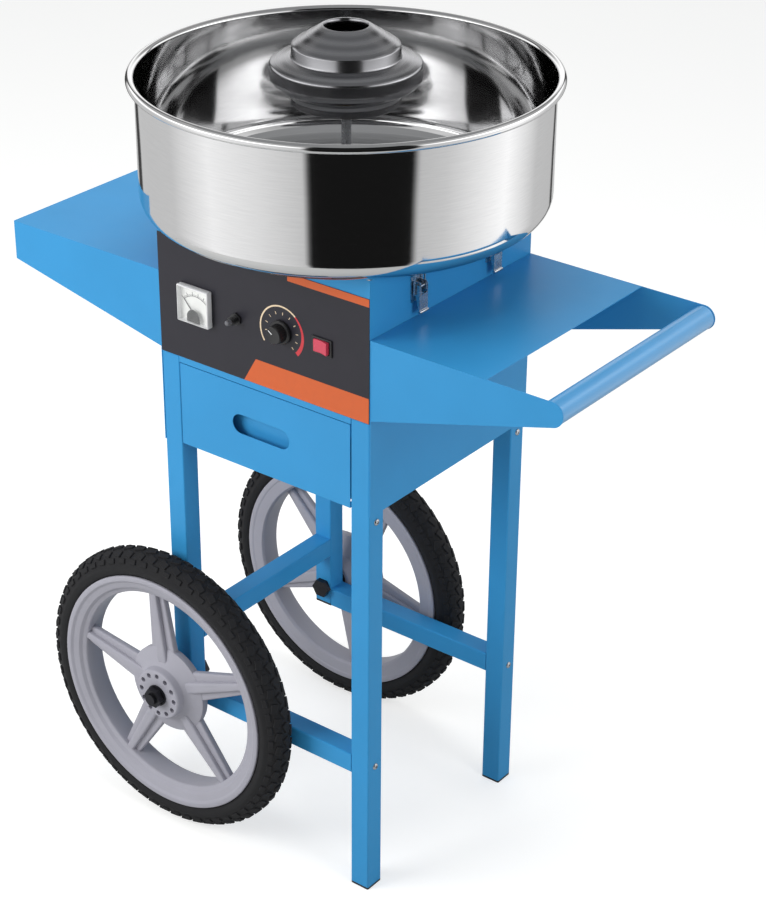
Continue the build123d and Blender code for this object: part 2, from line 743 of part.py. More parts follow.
def meter_pointer():
    """A thin needle on a small hub; it rests at the left end of the scale."""
    x = BX + METER_X
    z = METER_PIVOT_Z
    y0 = METER_DIAL_Y - 2.0
    y1 = y0 + NEEDLE_HUB_L
    middle = (y0 + y1) / 2
    bore = rod_y(x, z, y0 - 1, y1 + 1, METER_PIN_R + SHAFT_RUN)
    hub = rod_y(x, z, y0, y1, NEEDLE_HUB_R) - bore
    needle = block(
        x + NEEDLE_HUB_R - 0.4, x + NEEDLE_L, middle - NEEDLE_T / 2, middle + NEEDLE_T / 2,
        z - NEEDLE_HALF, z + NEEDLE_HALF)
    return Pos(x, 0, z) * Rot(0, -METER_REST_DEG, 0) * Pos(-x, 0, -z) * (hub + needle)


# ---------------------------------------------------------------- breaker, knob, switch

def breaker_body():
    x = BX + BREAKER_X
    sleeve = rod_y(x, BREAKER_Z, PANEL_FRONT - BREAKER_PROUD, -HALF_D + SHEET, BREAKER_R)
    half_w, depth, half_h = BREAKER_CASE
    y0 = -HALF_D + SHEET
    case = block(x - half_w, x + half_w, y0, y0 + depth, BREAKER_Z - half_h, BREAKER_Z + half_h)
    bore = rod_y(x, BREAKER_Z, PANEL_FRONT - BREAKER_PROUD - 1, PANEL_FRONT + BUTTON_WELL, BUTTON_R + 0.1)
    return sleeve + case - bore


def breaker_button():
    """The reset button; it can be pushed in by up to 3 mm."""
    x = BX + BREAKER_X
    tip = PANEL_FRONT - BREAKER_PROUD - BUTTON_PROUD
    return rod_y(x, BREAKER_Z, tip, PANEL_FRONT, BUTTON_R)


def knob():
    """A skirted knob with finger flutes and its stem, which passes through the panel."""
    x = BX + KNOB_X
    back = PANEL_FRONT - KNOB_LIFT
    front = back - KNOB_H
    skirt = rod_y(x, KNOB_Z, back - KNOB_SKIRT, back, KNOB_R)
    grip = rod_y(x, KNOB_Z, front, back - KNOB_SKIRT, KNOB_R - KNOB_SKIRT)
    for k in range(KNOB_FLUTES):
        turn = math.radians(360 / KNOB_FLUTES * k)
        fx = x + (KNOB_R - FLUTE_INSET) * math.cos(turn)
        fz = KNOB_Z + (KNOB_R - FLUTE_INSET) * math.sin(turn)
        grip = grip - rod_y(fx, fz, front - 1, back - KNOB_SKIRT, FLUTE_R)
    stem = rod_y(x, KNOB_Z, back, -HALF_D + SHEET + STEM_L, STEM_R)
    return skirt + grip + stem


def speed_control():
    """The rotary control behind the panel; the knob's stem turns in its bore."""
    x = BX + KNOB_X
    y0 = -HALF_D + SHEET
    body = rod_y(x, KNOB_Z, y0, y0 + CONTROL_L, CONTROL_R)
    return body - rod_y(x, KNOB_Z, y0 - 1, y0 + STEM_L + 0.3, STEM_R + STEM_RUN)


def switch_housing():
    x = BX + ROCKER_X
    z = ROCKER_Z
    front = PANEL_FRONT - BEZEL_T
    in_w = ROCKER_W / 2 + ROCKER_GAP
    in_h = ROCKER_H / 2 + ROCKER_GAP
    out_w = in_w + SWITCH_WALL
    out_h = ROCKER_H / 2 + SWITCH_WALL
    back = PANEL_FRONT + SWITCH_CASE_L
    bezel = block(x - BEZEL_W / 2, x + BEZEL_W / 2, front, PANEL_FRONT, z - BEZEL_H / 2, z + BEZEL_H / 2)
    case = block(x - out_w, x + out_w, PANEL_FRONT, back, z - out_h, z + out_h)
    well = block(x - in_w, x + in_w, front - 1, PANEL_FRONT + SWITCH_WELL, z - in_h, z + in_h)
    return bezel + case - well


def rocker_switch():
    """A rocker with a shallow V front, tilted about a pivot along Z; its left half is pressed at rest."""
    half = ROCKER_W / 2
    back = PANEL_FRONT + ROCKER_BACK
    face = PANEL_FRONT - BEZEL_T - ROCKER_PROUD
    horn = face - ROCKER_PROUD
    outline = [
        (-half + 1.2, back),
        (-half + 0.6, horn),
        (0, face),
        (half - 0.6, horn),
        (half - 1.2, back),
    ]
    shape = make_face(Polyline([(px, py, 0) for px, py in outline], close=True))
    body = Pos(0, 0, ROCKER_Z - ROCKER_H / 2) * extrude(shape, ROCKER_H, dir=(0, 0, 1))
    tilt = Pos(0, PANEL_FRONT, 0) * Rot(0, 0, -ROCKER_TILT_DEG) * Pos(0, -PANEL_FRONT, 0) * body
    return Pos(BX + ROCKER_X, 0, 0) * tilt


# ---------------------------------------------------------------- bowl and latches

def corner_arc(x, z, r):
    """The lower right quarter of a circle about (x, z)."""
    half = r * math.sqrt(0.5)
    return ThreePointArc((x, 0, z - r), (x + half, 0, z - half), (x + r, 0, z))


def bowl():
    """A spun pan: rolled bead, straight wall, large corner radius, flat floor and a centre collar."""
    z0 = DECK_Z
    t = BOWL_T
    bead_z = BOWL_TOP - BEAD_R
    bend_r = BOWL_R - BOWL_CORNER
    bend_z = z0 + BOWL_CORNER
    outer = Polyline([(BOWL_HOLE_R, 0, z0 + BOWL_COLLAR), (BOWL_HOLE_R, 0, z0), (bend_r, 0, z0)])
    outer = outer + corner_arc(bend_r, bend_z, BOWL_CORNER)
    outer = outer + Polyline([
        (BOWL_R, 0, bend_z),
        (BOWL_R, 0, bead_z),
        (BOWL_R - t, 0, bead_z),
        (BOWL_R - t, 0, bend_z),
    ])
    inner = corner_arc(bend_r, bend_z, BOWL_CORNER - t)
    inner = inner + Polyline([
        (bend_r, 0, z0 + t),
        (BOWL_HOLE_R + t, 0, z0 + t),
        (BOWL_HOLE_R + t, 0, z0 + BOWL_COLLAR),
        (BOWL_HOLE_R, 0, z0 + BOWL_COLLAR),
    ])
    pan = revolve(make_face(outer + inner), Axis.Z)
    section = Pos(BOWL_RIM_R - BEAD_R, 0, bead_z) * Rot(90, 0, 0) * Circle(BEAD_R)
    bead = revolve(section, Axis.Z)
    return Pos(BX, 0, 0) * (pan + bead)


def latch_place(side, y):
    """Local +X points out of the machine's side, local Z stays up."""
    place = Pos(BX + side * MACHINE_HALF, y, 0)
    if side < 0:
        place = place * Rot(0, 0, 180)
    return place


def latch_base():
    """A back plate with two ears and the lever's pivot pin."""
    z = LATCH_PIN_Z
    half = LATCH_PLATE_HALF
    pieces = [block(0, LATCH_PLATE_T, -half, half, z - LATCH_PLATE_DROP, z + LATCH_PLATE_RISE)]
    for y0 in (-EAR_OUT, EAR_OUT - EAR_T):
        pieces.append(block(
            LATCH_PLATE_T, LATCH_PIN_U + 2 * LATCH_PIN_R, y0, y0 + EAR_T, z - EAR_HALF, z + EAR_HALF))
    pieces.append(rod_y(LATCH_PIN_U, z, -CHEEK_OUT, CHEEK_OUT, LATCH_PIN_R))
    return fuse(pieces)


def latch_lever():
    """Two cheeks on the pivot pin and a finger plate that lies along the machine's side."""
    z = LATCH_PIN_Z
    u = LATCH_PIN_U
    tip_z = z - LEVER_L
    loop_u = u - LOOP_INSET
    loop_z = z - LOOP_DROP
    out_u = u + LEVER_HALF
    pieces = []
    for y0 in (-CHEEK_OUT, CHEEK_OUT - EAR_T):
        outline = [
            (u - LEVER_HALF, z + LEVER_HALF),
            (out_u, z + LEVER_HALF),
            (out_u, tip_z),
            (out_u - EAR_T, tip_z),
            (u - 2.2, loop_z - 3),
            (loop_u - 2 * LOOP_R, loop_z - 2 * LOOP_R),
            (loop_u - 2 * LOOP_R, loop_z + 1.6),
        ]
        cheek = apron(outline, y0, y0 + EAR_T)
        cheek = cheek - rod_y(u, z, y0 - 1, y0 + EAR_T + 1, LATCH_PIN_R + LATCH_RUN)
        cheek = cheek - rod_y(loop_u, loop_z, y0 - 1, y0 + EAR_T + 1, LOOP_R + LATCH_RUN)
        pieces.append(cheek)
    pieces.append(block(out_u - EAR_T, out_u, -CHEEK_OUT, CHEEK_OUT, tip_z, loop_z))
    pieces.append(rod_y(out_u, tip_z, -CHEEK_OUT, CHEEK_OUT, LEVER_LIP_R))
    return fuse(pieces)


def latch_loop():
    """A wire bail: two in-turned ends in the lever's cheeks, two side wires and a top bar."""
    x = LATCH_PIN_U - LOOP_INSET
    z0 = LATCH_PIN_Z - LOOP_DROP
    z1 = z0 + LOOP_L
    pieces = [rod_y(x, z1, -LOOP_HALF, LOOP_HALF, LOOP_R)]
    for side in (-1, 1):
        pieces.append(rod_z(x, side * LOOP_HALF, z0, z1, LOOP_R))
        pieces.append(Pos(x, side * LOOP_HALF, z0) * Sphere(LOOP_R))
        pieces.append(Pos(x, side * LOOP_HALF, z1) * Sphere(LOOP_R))
        ends = sorted((side * LOOP_END, side * LOOP_HALF))
        pieces.append(rod_y(x, z0, ends[0], ends[1], LOOP_R))
    return fuse(pieces)


def bowl_hook():
    """The catch under the bowl: a flange on the bowl's floor, a stem and a foot under the loop's bar."""
    bar_z = LATCH_PIN_Z - LOOP_DROP + LOOP_L
    foot_top = bar_z - LOOP_R - HOOK_GAP
    u0 = LATCH_PLATE_T
    half = HOOK_HALF
    flange = block(u0, HOOK_FLANGE, -half, half, DECK_Z - HOOK_T, DECK_Z)
    stem = block(u0, u0 + HOOK_T, -half, half, foot_top - HOOK_T, DECK_Z)
    foot = block(u0, LATCH_PIN_U, -half, half, foot_top - HOOK_T, foot_top)
    return fuse([flange, stem, foot])


# ---------------------------------------------------------------- floss head and drive

def head_base():
    """The lower half of the spinning head: a foot ring, a cone and the wide outer ring."""
    ring_top = HEAD_RING_Z + HEAD_RING_H
    dish = turned([
        (SHAFT_R, HEAD_FOOT_Z),
        (HEAD_FOOT_R, HEAD_FOOT_Z),
        (HEAD_FOOT_R, HEAD_FOOT_Z + 8),
        (HEAD_FOOT_R + 6, HEAD_FOOT_Z + 12),
        (HEAD_R - 8, HEAD_RING_Z),
        (HEAD_R, HEAD_RING_Z + 6),
        (HEAD_R, ring_top),
        (HEAD_R - 2.5, ring_top),
        (HEAD_R - 2.5, HEAD_RING_Z + 8),
        (HEAD_R - 9, HEAD_RING_Z + 3),
        (HEAD_FOOT_R + 3, HEAD_FOOT_Z + 15),
        (30, HEAD_FOOT_Z + 11),
        (18, HEAD_RING_Z + 22),
        (SHAFT_R, HEAD_RING_Z + 22),
    ])
    return Pos(BX, 0, 0) * dish


def heater_band():
    """The ribbon element that melts the sugar, standing inside the outer ring."""
    return ring_z(HEAD_RING_Z + 5, HEAD_RING_Z + HEAD_RING_H - 2, BAND_R, BAND_R - BAND_T)


def head_cap():
    """The lid of the head: rim, raised drum and a cone with the sugar mouth."""
    ring_top = HEAD_RING_Z + HEAD_RING_H
    lid = turned([
        (HEAD_R, ring_top),
        (HEAD_R, ring_top + 3),
        (HEAD_CAP_R + 4, ring_top + 6),
        (HEAD_CAP_R, HEAD_CAP_Z),
        (HEAD_CAP_R - 3, HEAD_CAP_Z + 2),
        (SUGAR_R + 4, HEAD_TOP_Z),
        (SUGAR_R, HEAD_TOP_Z),
        (SUGAR_R, HEAD_TOP_Z - 4),
        (HEAD_CAP_R - 10, HEAD_CAP_Z + 3),
        (HEAD_CAP_R - 2.5, HEAD_CAP_Z - 1),
        (HEAD_CAP_R + 1, ring_top + 4),
        (HEAD_CAP_R + 3, ring_top),
    ])
    return Pos(BX, 0, 0) * lid


def spinner_shaft():
    return rod_z(BX, 0, MOTOR_Z + MOTOR_H - SHAFT_IN, HEAD_RING_Z + SHAFT_TOP, SHAFT_R)


def slip_rings():
    rings = []
    for z in RING_Z:
        rings.append(ring_z(z, z + RING_H, RING_R, SHAFT_R))
    return rings


def motor():
    top = MOTOR_Z + MOTOR_H
    body = rod_z(BX, 0, MOTOR_Z, top, MOTOR_R)
    nose = rod_z(BX, 0, top, top + MOTOR_NOSE_H, MOTOR_NOSE_R)
    return body + nose - rod_z(BX, 0, top - MOTOR_BORE_L, top + MOTOR_NOSE_H + 1, SHAFT_R + SHAFT_RUN)


def motor_plate():
    half = MOTOR_PLATE_W / 2
    return block(BX - half, BX + half, -half, half, MOTOR_PLATE_Z, MOTOR_PLATE_Z + MOTOR_PLATE_T)


def rubber_mounts():
    mounts = []
    for sx in (-1, 1):
        for sy in (-1, 1):
            x = BX + sx * MOUNT_SPACING / 2
            y = sy * MOUNT_SPACING / 2
            mounts.append(rod_z(x, y, BOX_TOP + SHEET, MOTOR_PLATE_Z, MOUNT_R))
    return mounts


def brush_holder():
    """An insulating post on the motor plate that holds one brush level with each slip ring."""
    x0 = BX + RING_R + HOLDER_SETBACK
    x1 = x0 + HOLDER_ARM_L
    top = RING_Z[1] + RING_H + HOLDER_MARGIN
    half = HOLDER_POST_HALF
    post = block(x1, x1 + HOLDER_POST_T, -half, half, MOTOR_PLATE_Z + MOTOR_PLATE_T, top)
    arm = block(x0, x1, -HOLDER_ARM_HALF, HOLDER_ARM_HALF, RING_Z[0] - HOLDER_MARGIN, top)
    holder = post + arm
    for z in RING_Z:
        holder = holder - block(x0 - 1, x0 + BRUSH_L, -BRUSH_HALF, BRUSH_HALF, z, z + RING_H)
    return holder


def carbon_brushes():
    brushes = []
    x0 = BX + RING_R + BRUSH_GAP
    for z in RING_Z:
        brushes.append(block(x0, x0 + BRUSH_L, -BRUSH_HALF, BRUSH_HALF, z, z + RING_H))
    return brushes


# ---------------------------------------------------------------- write every piece

def main():
    os.makedirs("parts", exist_ok=True)
    save("leg_front_right", leg(1, LEG_FRONT_Y, 0))
    save("leg_rear_right", leg(1, LEG_REAR_Y, 0))
    save("leg_front_left", leg(-1, LEG_FRONT_Y, LEFT_LEG_LOW))
    save("leg_rear_left", leg(-1, LEG_REAR_Y, LEFT_LEG_LOW))
    caps = []
    for leg_y in (LEG_FRONT_Y, LEG_REAR_Y):
        caps.append(leg_end_cap(1, leg_y, 0))
        caps.append(leg_end_cap(-1, leg_y, LEFT_LEG_LOW))
    save_group("leg_end_caps", caps)
    save_group("side_braces", [side_brace(LEG_FRONT_Y), side_brace(LEG_REAR_Y)])
    save("cross_brace", cross_brace())
    bolts = [axle_bolt(-1, LEG_FRONT_Y), axle_bolt(1, LEG_REAR_Y)]
    save_group("axle_hardware", bolts + [axle_nut(-1), axle_nut(1)] + axle_washers())

    for name, side in (("front", -1), ("rear", 1)):
        save("wheel_" + name, wheel_place(side) * rim(SPOKE_START_DEG[name]))
        save("tyre_" + name, wheel_place(side) * tyre())

    save("side_panel_right", side_panel(1))
    save("side_panel_left", side_panel(-1))
    save("rear_panel", rear_panel())
    save("cart_top", cart_top())
    save_group("drawer_rails", [drawer_rail(-1), drawer_rail(1)])
    save("drawer_front", drawer_front())
    save("drawer_tray", drawer_tray())
    save("shelf_right", shelf_right())
    save("shelf_left", shelf_left())
    save("push_handle", handle_tube())
    save_group("screws", [pan_screw(site) for site in FRAME_SITES + SHELF_SITES])

    save("machine_front", machine_front())
    save_group("machine_sides", [machine_side(-1), machine_side(1)])
    save("machine_rear", machine_rear())
    save("top_deck", top_deck())
    save("base_plate", base_plate())
    save("control_panel", control_panel())
    save("cable_gland", cable_gland())
    save("meter_case", meter_case())
    save("meter_lens", meter_lens())
    save("meter_pointer", meter_pointer())
    save("breaker_body", breaker_body())
    save("breaker_button", breaker_button())
    save("heat_knob", knob())
    save("speed_control", speed_control())
    save("switch_housing", switch_housing())
    save("rocker_switch", rocker_switch())

    save("bowl", bowl())
    bases = []
    hooks = []
    for side, side_name in ((1, "right"), (-1, "left")):
        for y, end_name in ((-LATCH_Y, "front"), (LATCH_Y, "rear")):
            place = latch_place(side, y)
            bases.append(place * latch_base())
            hooks.append(place * bowl_hook())
            save("latch_lever_" + side_name + "_" + end_name, place * latch_lever())
            save("latch_loop_" + side_name + "_" + end_name, place * latch_loop())
    save_group("latch_bases", bases)
    save_group("bowl_hooks", hooks)

    save("head_base", head_base())
    save("heater_band", heater_band())
    save("head_cap", head_cap())
    save("spinner_shaft", spinner_shaft())
    save_group("slip_rings", slip_rings())
    save("motor", motor())
    save("motor_plate", motor_plate())
    save_group("rubber_mounts", rubber_mounts())
    save("brush_holder", brush_holder())
    save_group("carbon_brushes", carbon_brushes())


main()
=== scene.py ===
import math

import bpy
from bpy.props import FloatProperty, FloatVectorProperty, PointerProperty, StringProperty
from mathutils import Matrix, Vector


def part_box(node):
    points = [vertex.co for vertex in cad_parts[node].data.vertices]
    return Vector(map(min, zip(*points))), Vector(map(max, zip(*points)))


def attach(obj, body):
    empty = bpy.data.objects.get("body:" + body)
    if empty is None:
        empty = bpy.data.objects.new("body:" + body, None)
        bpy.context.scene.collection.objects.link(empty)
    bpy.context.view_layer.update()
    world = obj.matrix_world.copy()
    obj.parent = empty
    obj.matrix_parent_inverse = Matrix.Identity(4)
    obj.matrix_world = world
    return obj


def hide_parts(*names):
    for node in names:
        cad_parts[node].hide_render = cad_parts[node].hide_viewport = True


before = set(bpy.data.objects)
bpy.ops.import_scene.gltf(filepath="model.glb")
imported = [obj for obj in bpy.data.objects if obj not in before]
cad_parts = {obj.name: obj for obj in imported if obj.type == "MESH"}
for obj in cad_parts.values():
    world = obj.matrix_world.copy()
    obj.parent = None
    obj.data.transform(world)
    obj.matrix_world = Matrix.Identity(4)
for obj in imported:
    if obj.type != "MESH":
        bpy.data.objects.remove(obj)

bl_info = {
    "name": "Cotton candy machine on a cart",
    "version": (1, 0, 0),
    "blender": (4, 5, 0),
    "location": "View3D > Sidebar > Candy cart",
    "description": "Builds the visible pieces of a cotton candy machine round its CAD frame",
    "category": "Object",
}

MM = 0.001
FINISHES = {}                # filled by make_finishes


# ---------------- places taken from the frame

def centre(node):
    low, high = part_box(node)
    return (low + high) / 2


HEAD_AXIS = centre("spinner_shaft")
ON_HEAD_AXIS = Matrix.Translation((HEAD_AXIS.x, HEAD_AXIS.y, 0))
PANEL_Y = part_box("control_panel")[0].y


# ---------------- sizes and colours a user may change

class CandySizes(bpy.types.PropertyGroup):
    """Sizes of the detail that the CAD frame leaves open."""
    edge_round: FloatProperty(
        name="Sheet edge rounding", description="Radius on the edges of painted sheet and tube",
        default=0.5 * MM, min=0.0, unit="LENGTH")
    bowl_wall: FloatProperty(
        name="Bowl wall", description="Thickness of the spun steel bowl",
        default=1.0 * MM, min=0.0002, unit="LENGTH")
    bead_radius: FloatProperty(
        name="Rim bead", description="Radius of the rolled bead on the bowl's rim",
        default=5.5 * MM, min=0.001, unit="LENGTH")
    tread_depth: FloatProperty(
        name="Tread depth", description="Height of the tyre's tread blocks",
        default=1.8 * MM, min=0.0, unit="LENGTH")
    print_lift: FloatProperty(
        name="Print thickness", description="Thickness of the coloured print on the control panel",
        default=0.12 * MM, min=0.00001, unit="LENGTH")


class CandyColours(bpy.types.PropertyGroup):
    """Colours as sRGB hex values."""
    paint: StringProperty(name="Paint", description="Blue enamel on the cart and the machine", default="#3A96D0")
    panel: StringProperty(name="Panel film", description="Charcoal control panel film", default="#28272E")
    accent: StringProperty(name="Accent print", description="Orange print on the panel", default="#D05C22")
    rocker: StringProperty(name="Rocker", description="Red rocker of the power switch", default="#CE4058")
    wheel: StringProperty(name="Wheel plastic", description="Light grey moulded wheel", default="#A3A2AC")
    tyre: StringProperty(name="Tyre", description="Black tyre rubber", default="#1B1B1D")
    floor: StringProperty(name="Floor", description="Pale studio floor", default="#CECECC")


def sizes():
    return bpy.context.scene.candy_sizes


def colours():
    return bpy.context.scene.candy_colours


# ---------------- modelling helpers

def deselect():
    """Object mode, with nothing selected."""
    if bpy.context.object and bpy.context.object.mode != "OBJECT":
        bpy.ops.object.mode_set(mode="OBJECT")
    bpy.ops.object.select_all(action="DESELECT")


def edit_all():
    """Edit mode on the active object, with everything selected."""
    bpy.ops.object.mode_set(mode="EDIT")
    bpy.ops.mesh.select_all(action="SELECT")


def pick(*pieces):
    """Select only these, the first one active."""
    deselect()
    for piece in pieces:
        piece.select_set(True)
    bpy.context.view_layer.objects.active = pieces[0]


def named(name):
    """Give the active object its name."""
    piece = bpy.context.active_object
    piece.name = name
    piece.data.name = name
    return piece


def apply_place(piece):
    pick(piece)
    bpy.ops.object.transform_apply(location=True, rotation=True, scale=True)


def turned_about(axis, degrees):
    return Matrix.Rotation(math.radians(degrees), 4, axis)


def facing(x, y, z):
    """A place whose local XY stands upright and whose local Z points to the front."""
    return Matrix.Translation((x, y, z)) @ turned_about("X", 90)


def place(piece, matrix):
    """Move a piece that was modelled at the origin to its place, kept in its mesh."""
    piece.matrix_world = matrix @ piece.matrix_world
    apply_place(piece)


def block(name, low, high, rounding=0.0, segments=2):
    """A box between two corners with rounded edges."""
    deselect()
    low = Vector(low)
    high = Vector(high)
    bpy.ops.mesh.primitive_cube_add(size=1, location=(low + high) / 2, scale=high - low)
    piece = named(name)
    apply_place(piece)
    if rounding:
        edit_all()
        bpy.ops.mesh.bevel(offset=rounding, segments=segments, affect="EDGES")
        bpy.ops.object.mode_set(mode="OBJECT")
    return piece


def rod(name, radius, depth, sides, spot):
    """An upright cylinder or prism."""
    deselect()
    bpy.ops.mesh.primitive_cylinder_add(vertices=sides, radius=radius, depth=depth, location=spot)
    piece = named(name)
    apply_place(piece)
    return piece


def round_row(radius, count):
    """Places spaced evenly round a circle."""
    angles = [math.radians(360 / count * k) for k in range(count)]
    return [(radius * math.cos(angle), radius * math.sin(angle)) for angle in angles]


def turned(name, outline, steps=128):
    """Turn an outline of (radius, height) points about Z: a ring of edges is extruded from point to point."""
    deselect()
    radius, height = outline[0]
    bpy.ops.mesh.primitive_circle_add(vertices=steps, radius=radius, location=(0, 0, height))
    piece = named(name)
    apply_place(piece)
    edit_all()
    for next_radius, next_height in outline[1:] + outline[:1]:
        grow = next_radius / radius
        bpy.ops.mesh.extrude_region_move(TRANSFORM_OT_translate={"value": (0, 0, next_height - height)})
        bpy.ops.transform.resize(value=(grow, grow, 1), center_override=(0, 0, next_height))
        radius = next_radius
        height = next_height
    bpy.ops.mesh.select_all(action="SELECT")
    bpy.ops.mesh.remove_doubles(threshold=0.000001)
    bpy.ops.mesh.normals_make_consistent(inside=False)
    bpy.ops.object.mode_set(mode="OBJECT")
    return piece


def arc(x, z, radius, start, end, count):
    """Points on a circle from one angle to another, in degrees, both ends included."""
    points = []
    for k in range(count + 1):
        angle = math.radians(start + (end - start) * k / count)
        points.append((x + radius * math.cos(angle), z + radius * math.sin(angle)))
    return points


def plate(name, outline, depth):
    """A flat plate: an (x, y) outline filled and extruded up from Z = 0."""
    deselect()
    bpy.ops.mesh.primitive_plane_add(size=1)
    piece = named(name)
    mesh = piece.data
    mesh.clear_geometry()
    mesh.from_pydata([(x, y, 0) for x, y in outline], [], [list(range(len(outline)))])
    edit_all()
    bpy.ops.mesh.extrude_region_move(TRANSFORM_OT_translate={"value": (0, 0, depth)})
    bpy.ops.mesh.select_all(action="SELECT")
    bpy.ops.mesh.normals_make_consistent(inside=False)
    bpy.ops.object.mode_set(mode="OBJECT")
    return piece


def add_modifier(piece, kind, **settings):
    modifier = piece.modifiers.new(kind.lower(), kind)
    for key, value in settings.items():
        setattr(modifier, key, value)
    return modifier.name


def apply_modifier(piece, kind, **settings):
    """Add one modifier, set it and apply it."""
    made = add_modifier(piece, kind, **settings)
    pick(piece)
    bpy.ops.object.modifier_apply(modifier=made)


def soften(piece, width, segments=2, angle=35):
    apply_modifier(
        piece, "BEVEL", width=width, segments=segments, limit_method="ANGLE",
        angle_limit=math.radians(angle), harden_normals=False)


def carve(piece, tool, operation="DIFFERENCE"):
    """Cut with, or weld on, another piece, which is used up."""
    apply_modifier(piece, "BOOLEAN", object=tool, operation=operation, solver="EXACT")
    bpy.data.objects.remove(tool)


def copied(piece, name):
    """A copy with its own mesh."""
    twin = piece.copy()
    twin.data = piece.data.copy()
    twin.name = name
    twin.data.name = name
    bpy.context.collection.objects.link(twin)
    return twin


def joined(pieces, name):
    """Join several pieces into one object."""
    pick(*pieces)
    bpy.ops.object.join()
    return named(name)


def settle(piece, body, finish, stands_for=(), smooth=30):
    """Give a finished piece its shading, material and body, and hide the CAD nodes that it stands for."""
    apply_place(piece)
    bpy.ops.object.shade_smooth_by_angle(angle=math.radians(smooth))
    piece.data.materials.clear()
    piece.data.materials.append(FINISHES[finish])
    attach(piece, body)
    if stands_for:
        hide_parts(*stands_for)
    return piece


# ---------------- material helpers

def linear(text, alpha=1.0):
    """An sRGB hex colour as linear red, green, blue, alpha."""
    values = [int(text.lstrip("#")[k:k + 2], 16) / 255 for k in (0, 2, 4)]
    line = [v / 12.92 if v <= 0.04045 else ((v + 0.055) / 1.055) ** 2.4 for v in values]
    return (*line, alpha)


def add(tree, kind, settings=None, sockets=None, links=None):
    """Add a node with its settings, its fixed sockets and its links."""
    node = tree.nodes.new(kind)
    for key, value in (settings or {}).items():
        setattr(node, key, value)
    for key, value in (sockets or {}).items():
        node.inputs[key].default_value = value
    for key, source in (links or {}).items():
        tree.links.new(source, node.inputs[key])
    return node


def shader(name, **fixed):
    """A new material with a Principled shader whose uniform values are set on its own sockets."""
    finish = bpy.data.materials.new(name)
    finish.use_nodes = True
    tree = finish.node_tree
    surface = tree.nodes["Principled BSDF"]
    for key, value in fixed.items():
        surface.inputs[key.replace("_", " ").title().replace("Ior", "IOR")].default_value = value
    return finish, tree, surface


def spread(tree, source, low, high):
    """A 0 to 1 pattern spread between two values."""
    span = add(tree, "ShaderNodeMapRange", sockets={"To Min": low, "To Max": high}, links={"Value": source})
    return span.outputs[0]


def product(tree, first, second):
    """Two values multiplied; the second may be a plain number."""
    fixed = isinstance(second, float)
    node = add(
        tree, "ShaderNodeMath", {"operation": "MULTIPLY"}, {1: second} if fixed else {},
        {0: first} if fixed else {0: first, 1: second})
    return node.outputs[0]


def mixed(tree, source, dark, light):
    """Two colours mixed by a pattern."""
    node = add(tree, "ShaderNodeMix", {"data_type": "RGBA"}, links={"Factor": source})
    node.inputs["A"].default_value = dark
    node.inputs["B"].default_value = light
    return [output for output in node.outputs if output.type == "RGBA"][0]


def shade(colour, factor):
    return (colour[0] * factor, colour[1] * factor, colour[2] * factor, 1.0)


def grain(tree, spacing, detail=3.0, stretch=(1, 1, 1)):
    """Noise in the object's own coordinates whose spots are about spacing apart, in metres."""
    where = add(tree, "ShaderNodeTexCoord").outputs["Object"]
    mapping = add(tree, "ShaderNodeMapping", sockets={"Scale": stretch}, links={"Vector": where})
    noise = add(
        tree, "ShaderNodeTexNoise", sockets={"Scale": 1.0 / spacing, "Detail": detail, "Roughness": 0.55},
        links={"Vector": mapping.outputs[0]})
    return noise.outputs["Fac"]


def bumped(tree, surface, height, depth, strength=1.0):
    """Raise the surface by a pattern of the given depth in metres."""
    bump = add(
        tree, "ShaderNodeBump", sockets={"Strength": strength, "Distance": depth}, links={"Height": height})
    tree.links.new(bump.outputs[0], surface.inputs["Normal"])


def patterned(key, name, pair, cloud, rough, gloss=None, bump=None, **fixed):
    """A finish whose colour and roughness follow noise; cloud and gloss are spacing, detail and stretch.

    The roughness follows the colour's own noise when gloss is left out. Bump is the noise's spacing and
    detail, the depth and the strength.
    """
    made, tree, surface = shader(name, **fixed)
    pattern = grain(tree, *cloud)
    tree.links.new(mixed(tree, pattern, *pair), surface.inputs["Base Color"])
    if gloss:
        pattern = grain(tree, *gloss)
    tree.links.new(spread(tree, pattern, *rough), surface.inputs["Roughness"])
    if bump:
        spacing, detail, depth, strength = bump
        bumped(tree, surface, grain(tree, spacing, detail), depth, strength)
    FINISHES[key] = made
    return tree, surface


def tones(text, dark, light):
    """A darker and a lighter tone of one colour."""
    base = linear(text)
    return shade(base, dark), shade(base, light)


